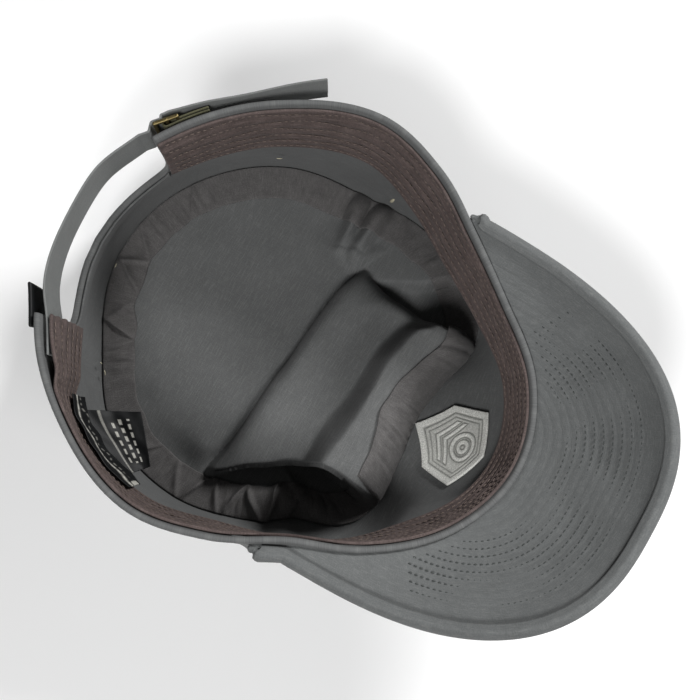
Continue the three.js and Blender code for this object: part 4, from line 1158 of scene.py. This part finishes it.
def besideBuckle(along, outward):
    # A place along the strap from the buckle's middle and outwards. Past the loop's eye it bends
    # round the crown.

    axes = buckleAxes()
    past = loopBar - along
    straight = polar(buckle["loopBearing"], loopReach(buckle["loopBearing"]), strapHeight) \
        - axes[0] * past[:, None] + axes[2] * outward[:, None]
    bearing = buckle["loopBearing"] - np.degrees(past / loopReach(buckle["loopBearing"]))
    bend = smoothstep(past, 0, buckle["loopBend"])[:, None]
    out = unit(axes[2] + (leanedAxes(bearing)[2] - axes[2]) * bend)
    bent = polar(bearing, loopReach(bearing), strapHeight) + out * outward[:, None]
    return np.where((past <= 0)[:, None], straight, bent)


def followRoute(route, steps):
    along = np.linspace(0, 1, steps)
    bearing = readTable(route, "along", "bearing", along)
    mouth = ovalReach(crown["mouthLength"], crown["mouthWidth"], bearing)
    return polar(bearing, readTable(route, "along", "reach", along) * mouth, strapHeight)


def strapLine():
    # Middle line: sewn end, arc over the gap, way through the buckle, free end
    half = strap["solid"] / 2
    bearing = np.linspace(gapEnd + strap["inserted"], gapEnd + strap["edgeSpare"], strapPoints["sewn"])
    wall = planReach(sidePoint(bearing, strap["belowRim"] / crown["height"]))
    sewn = polar(bearing, wall - 2 * crown["gap"] - half, strapHeight)
    over = buckle["thickness"] / 2 + buckle["clearance"] + half
    overLoop = loopRadius + buckle["clearance"] + half
    firstBar = buckle["length"] / 2 - buckle["bar"] - buckle["slotSpare"]
    middleBar = buckle["middleBar"] + buckle["bar"] / 2 + buckle["slotSpare"]
    pastMiddle = middleBar - 2 * (buckle["bar"] + buckle["slotSpare"])
    reach = buckle["length"] / 2 + buckle["approach"]
    place = np.linspace(reach, -reach, strapPoints["woven"])
    rise = 1 - smoothstep(place, middleBar, firstBar)
    lift = 1 - smoothstep(place, loopBar + loopRadius / 2, pastMiddle)
    woven = besideBuckle(place, over * (2 * rise - 1) + (overLoop - over) * lift)
    before = np.concatenate([sewn, followRoute(strapRoute, strapPoints["over"])])
    line = np.concatenate([before, woven, followRoute(tailRoute, strapPoints["tail"])])
    return relaxed(line, len(before) + len(woven) // 2)


def relaxed(line, fixed):
    # The line sampled evenly and averaged over a bell exp(-t^2), except near one of its points
    step, spread = strapEase["step"], strapEase["spread"]
    run = lengths(line, 0)
    at = np.arange(0, run[-1], step)
    even = np.stack([np.interp(at, run, line[:, k]) for k in range(3)], -1)
    reach = int(strapEase["cut"] * spread / step)
    bell = np.exp(-((np.arange(-reach, reach + 1) * step / spread) ** 2))
    ends = [2 * even[0] - even[reach:0:-1], even, 2 * even[-1] - even[-2:-reach - 2:-1]]
    padded = np.concatenate(ends)
    soft = np.stack([np.convolve(padded[:, k], bell / bell.sum(), "valid") for k in range(3)], -1)
    share = smoothstep(np.abs(at - run[fixed]), *strapEase["fade"])[:, None]
    return even + (soft - even) * share


def standingBand(line, width, thickness, rows, ridgeHeight=0.0):
    # A flat band on edge along a line, leaning outwards
    tangent = unit(np.concatenate([line[1:2] - line[:1], line[2:] - line[:-2], line[-1:] - line[-2:-1]]))
    _, up, _ = leanedAxes(np.mod(bearingOf(line[:, 0], line[:, 1]), 360))
    normal = unit(np.cross(up, tangent))
    height = np.linspace(-width / 2, width / 2, rows)
    points = line[:, None] + up[:, None] * height[:, None]
    fromRidge = (np.abs(height) - width / 2 + strapEdge["inset"]) / strapEdge["width"]
    half = thickness / 2 - ridgeHeight * np.exp(-(fromRidge**2)) + 0 * points[..., 0]
    return solid(*sheet(points, np.repeat(normal[:, None], rows, 1), -half, half))


def makeStrap(c):
    band = standingBand(strapLine(), c["width"], c["thickness"], strapPoints["rows"],
                        strapEdge["height"])
    addPiece("back_strap_cloth", [band], strapCotton, "back_strap")


def makeLoop(c):
    # Under the bar, round it in a half circle and back along the inner ply
    bend = loopRadius - c["loopPly"] / 2
    backPly = -loopRadius + 1.5 * c["loopPly"] + crown["gap"]
    under = np.linspace(1, 0, c["plyPoints"])
    first = besideBuckle(loopBar - c["loopLength"] * under, -bend + 0 * under)
    angle = np.pi * (np.linspace(0, 1, c["eyePoints"])[1:-1] - 0.5)
    eye = besideBuckle(loopBar + bend * np.cos(angle), bend * np.sin(angle))
    past = c["loopLength"] * under[::-1]
    back = besideBuckle(loopBar - past, bend + (backPly - bend) * smoothstep(past, 0, 2 * loopRadius))
    line = np.concatenate([first, eye, back])
    band = standingBand(line, c["loopWidth"], c["loopCloth"], c["loopRows"])
    addPiece("buckle_loop_webbing", [band], oliveWebbing, "buckle_loop")


# Half the points round a bar, its section's power, and its width at shares of its length
barForm = dict(half=10, power=4, shares=(0, 0.02, 0.06, 0.5, 0.94, 0.98, 1),
               widths=(0.6, 0.88, 1, 1, 1, 0.88, 0.6))


def barSolid(start, end, across, up, width, thick):
    # A straight bar with a rounded-square section: radius times (|cos|^4 + |sin|^4)^(-1/4)
    half, power = barForm["half"], barForm["power"]
    angle = np.radians(np.arange(half * 2) * 180 / half)
    fat = (np.cos(angle) ** power + np.sin(angle) ** power) ** (-1 / power)
    ring = (across[None] * (fat * np.cos(angle) * width / 2)[:, None]
            + up[None] * (fat * np.sin(angle) * thick / 2)[:, None])
    t, narrow = np.array(barForm["shares"]), np.array(barForm["widths"])
    line = start[None] + (end - start)[None] * t[:, None]
    grid = line[:, None] + ring[None] * narrow[:, None, None]
    return solid(grid[:, :half + 1], np.concatenate([grid[:, :1], grid[:, :half - 1:-1]], 1))


def makeBuckle(c):
    # Three bars up and two along, on the axes of the strap at the loop
    axes = buckleAxes()
    middle = polar(c["loopBearing"], loopReach(c["loopBearing"]), strapHeight)
    half = c["length"] / 2
    tall = strap["width"] / 2 + c["clearance"] + c["bar"]
    at = lambda a, u: middle + axes[0] * a + axes[1] * u
    bodies = [barSolid(at(a, -tall), at(a, tall), axes[0], axes[2], c["bar"], c["thickness"])
              for a in (-half + c["bar"] / 2, c["middleBar"], half - c["bar"] / 2)]
    bodies += [barSolid(at(-half, u), at(half, u), axes[1], axes[2], c["bar"], c["thickness"])
               for u in (-tall + c["bar"] / 2, tall - c["bar"] / 2)]
    addPiece("buckle_frame_brass", bodies, agedBrass, "buckle_frame")


# Labels

wovenLabel = dict(first=223.0, last=251.0, length=46.0, height=16.0, overlap=12.0, thickness=0.6,
                  lean=1.5, gaps=3, swell=0.5, swellSize=16.0, swellAcross=20.0, lines=90, rows=36)
# Lines woven into it, mm: a line at down waves by wave * sin(turns u + phase), and keeps a share of
# its strength where sin(breaks u) isn't above limit. The bar lies between its corners.
wovenLines = (
    dict(down=5.0, wave=1.3, turns=0.4, phase=0.0, width=0.8, strength=1.0, breaks=1.7, limit=-0.5,
         share=0.6),
    dict(down=10.5, wave=1.2, turns=0.7, phase=1.0, width=0.6, strength=0.4, breaks=2.3, limit=0.0,
         share=0.0),
)
wovenBar = dict(left=44.0, top=6.0, foot=14.0, strength=0.8)
careLabel = dict(first=225.0, last=245.0, width=33.0, drop=26.0, depth=0.56, sag=1.5, thickness=0.5,
                 swell=0.3, swellSize=12.0, swellAlong=30.0, swellDown=25.0, lines=70, rows=60)
# Its rows of plain bars, and the pale turned edge, mm
careRows = dict(pitch=4.2, half=0.75, top=8.0, foot=22.0, left=4.0, right=29.0, strength=0.85,
                turns=1.3, shift=2.4, limit=-0.3, edge=6.2, edgeHalf=0.5, edgeStrength=0.45)
# The corners of its free edge: bearing, share of the mouth's oval and share of the crown's height
careCorners = dict(bearing=[230, 246.5], reach=[.77, .86], height=[.4, .4])


def makeWovenLabel(c):
    # Lies over the sweatband's lower edge and leans in from the side
    along, down = evenGrid(c["lines"], c["rows"])
    bearing = c["first"] + (c["last"] - c["first"]) * along
    top = (sweatband["inset"] + sweatband["width"] - c["overlap"]) / crown["height"]
    depth = top + c["height"] / crown["height"] * down
    u, v = along * c["length"], down * c["height"]
    swell = c["swell"] * ripple(seeds["label"], c["swellSize"], u, down * c["swellAcross"])
    stand = sweatbandStand(bearing, 1.0) + sweatband["thickness"] + c["gaps"] * crown["gap"]
    near, far = sheet(*wallPoints(bearing, depth, stand + c["lean"] * down + swell), 0.0, c["thickness"])
    bar = wovenBar
    mark = bar["strength"] * ((u > bar["left"]) & (v > bar["top"]) & (v < bar["foot"]))
    for k in wovenLines:
        off = (v - k["down"] - k["wave"] * np.sin(u * k["turns"] + k["phase"])) / k["width"]
        kept = k["share"] + (1 - k["share"]) * (np.sin(u * k["breaks"]) > k["limit"])
        mark = np.maximum(mark, k["strength"] * np.exp(-(off**2)) * kept)
    addPiece("woven_label_satin", [solid(near, far)], labelSatin, "woven_label",
             dict(mark=onBothFaces(mark)))


def makeCareLabel(c):
    # From its seam on the side straight to its free edge, less a sag of sin(pi share)

    along, share = evenGrid(c["lines"], c["rows"])
    bearing = c["first"] + (c["last"] - c["first"]) * along
    sewn, _ = wallPoints(bearing, c["depth"], 2 * crown["gap"])
    corners = [polar(b, r * ovalReach(crown["mouthLength"], crown["mouthWidth"], b), h * crown["height"])
               for b, r, h in zip(*careCorners.values())]
    free = corners[0] + (corners[1] - corners[0]) * along[..., None]
    points = sewn + (free - sewn) * share[..., None]
    swell = ripple(seeds["careLabel"], c["swellSize"], along * c["swellAlong"], share * c["swellDown"])
    points[..., 2] -= c["sag"] * np.sin(np.pi * share) - c["swell"] * swell
    near, far = sheet(points, gridNormals(points), 0.0, c["thickness"])
    u, v, r = along * c["width"], share * c["drop"], careRows
    inRow = np.abs(np.mod(v, r["pitch"]) - r["pitch"] / 2) < r["half"]
    inRow = inRow & (v > r["top"]) & (v < r["foot"]) & (u > r["left"]) & (u < r["right"])
    bars = inRow & (np.sin(u * r["turns"] + r["shift"] * np.floor(v / r["pitch"])) > r["limit"])
    edge = np.abs(v - r["edge"]) < r["edgeHalf"]
    mark = np.maximum(bars * r["strength"], r["edgeStrength"] * edge)
    addPiece("care_label_satin", [solid(near, far)], labelSatin, "care_label",
             dict(mark=onBothFaces(mark)))


# Six-sided patch

patch = dict(width=31.6, thickness=1.2, gap=0.7, bearing=-0.6, depth=0.75, turn=-1.0, turns=240,
             rings=64, centre=0.004)
# Its relief, mm: sewn border, grooves as (distance in, width), two rings as radii, chevrons as
# distances down, and how far thread, motif and groove change the height
patchRelief = dict(
    border=2.4, borderRise=0.5, threads=90, threadDepth=0.25, grooves=((2.8, 0.35), (4.6, 0.3)),
    ringsUp=3.6, rings=(5.4, 2.2), ringHalf=0.9, chevrons=(6.0, 9.2), chevronHalf=0.8,
    chevronSlope=0.55, chevronReach=9.5, field=5.2, motifRise=0.3, outline=0.3, outlineWidth=0.35,
    ground=0.66, grooveDepth=0.6, height=0.45,
)


def patchShape(right, down, fromEdge):
    # Relief from 0 to 1: the higher of border and motif over the ground, less the grooves
    r = patchRelief
    bell = lambda off, width: np.exp(-((off / width) ** 2))
    around = np.cos(np.radians(np.arange(len(down)) * 360 / len(down) * r["threads"]))[:, None]
    border = smoothstep(r["border"] - fromEdge, 0, r["borderRise"]) \
        * (1 - r["threadDepth"] + r["threadDepth"] * around)
    groove = sum(bell(fromEdge - at, width) for at, width in r["grooves"])
    shape = [np.abs(np.hypot(right, down + r["ringsUp"]) - radius) - r["ringHalf"]
             for radius in r["rings"]]
    shape += [np.maximum(np.abs(down - at + r["chevronSlope"] * np.abs(right)) - r["chevronHalf"],
                         np.abs(right) - r["chevronReach"]) for at in r["chevrons"]]
    outside, inField = np.minimum.reduce(shape), fromEdge > r["field"]
    motif = smoothstep(-outside, 0, r["motifRise"]) * inField
    groove = groove + bell(outside - r["outline"], r["outlineWidth"]) * inField
    high = np.maximum(border * (fromEdge < r["border"]), motif)
    return np.clip(r["ground"] + (1 - r["ground"]) * high - r["grooveDepth"] * groove, 0, 1)


def makePatch(c):
    # Lines from a middle on the side's inner face out to a six-sided edge
    perDegree = planReach(sidePoint(c["bearing"], c["depth"])) * math.radians(1)
    step = 5 * slopeStep["share"]
    perDepth = np.linalg.norm(sidePoint(c["bearing"], c["depth"] - step)
                              - sidePoint(c["bearing"], c["depth"] + step)) / (2 * step)
    angle = 360 * np.arange(c["turns"])[:, None] / c["turns"]
    fromFlat = np.mod(angle + 30, 60) - 30
    edge = c["width"] / 2 / np.cos(np.radians(30 - np.abs(fromFlat)))
    share = np.linspace(c["centre"], 1, c["rings"])[None]
    right = edge * share * np.sin(np.radians(angle))
    down = edge * share * np.cos(np.radians(angle))
    turned = np.radians(c["turn"])
    bearing = c["bearing"] + (right * np.cos(turned) + down * np.sin(turned)) / perDegree
    depth = c["depth"] + (down * np.cos(turned) - right * np.sin(turned)) / perDepth
    raised = patchShape(right, down, (1 - share) * c["width"] / 2 + 0 * angle)
    highest = c["gap"] + c["thickness"] + patchRelief["height"] * (raised - 1)
    near, far = sheet(*wallPoints(bearing, depth, 0.0), c["gap"], highest, looped=True)
    addPiece("front_patch_thread", [solid(near, far, looped=True)], silverThread,
             "front_patch", dict(raised=onBothFaces(raised, looped=True)))


# Tab at the gap's other end

tab = dict(first=207.5, last=199.0, gap=1.3, flare=2.4, height=11.0, thickness=1.8, drop=1.0,
           lines=24, rows=14)


def makeTab(c):
    # Flat outside the side, flaring out by the square of the way along
    along, down = evenGrid(c["lines"], c["rows"])
    bearing = c["first"] + (c["last"] - c["first"]) * along
    depth = (c["drop"] + c["height"] * down) / crown["height"]
    normals = sideNormal(bearing, depth)
    points = sidePoint(bearing, depth) + normals * (c["flare"] * along**2)[..., None]
    start = crown["hem"] + c["gap"]
    near, far = sheet(points, normals, start, start + c["thickness"])
    addPiece("side_tab_satin", [solid(near, far)], labelSatin, "side_tab",
             dict(mark=onBothFaces(0 * along)))


def addFloor(c):
    mesh = bpy.data.meshes.new("floor")
    half = c["floorSize"] / 2
    mesh.from_pydata([(-half, -half, 0), (half, -half, 0), (half, half, 0), (-half, half, 0)], [],
                     [(0, 1, 2, 3)])
    material, _, shader = newMaterial("paleFloor")
    shader.inputs["Base Color"].default_value = srgb(c["floorColour"])
    shader.inputs["Roughness"].default_value = c["floorRoughness"]
    mesh.materials.append(material)
    floor = bpy.data.objects.new("floor", mesh)
    bpy.context.scene.collection.objects.link(floor)


addCamera(cameraSetup)
addLights(lightSetup)
addFloor(lightSetup)
print("camera, floor and lights placed")
makeCrownSide(sideGrid)
makeCrownTop(topGrid)
makeSeamTape(seamTape)
makeSweatband(sweatband)
makeBandSewing(bandSewing)
makeLooseThreads(looseThreads)
makeGapFacing(gapFacing)
makePeak(peak)
makePeakSewing(peakSewing)
makePeakBinding(binding)
makeStrap(strap)
makeLoop(buckle)
makeBuckle(buckle)
makeWovenLabel(wovenLabel)
makeCareLabel(careLabel)
makePatch(patch)
makeTab(tab)
print("pieces placed")
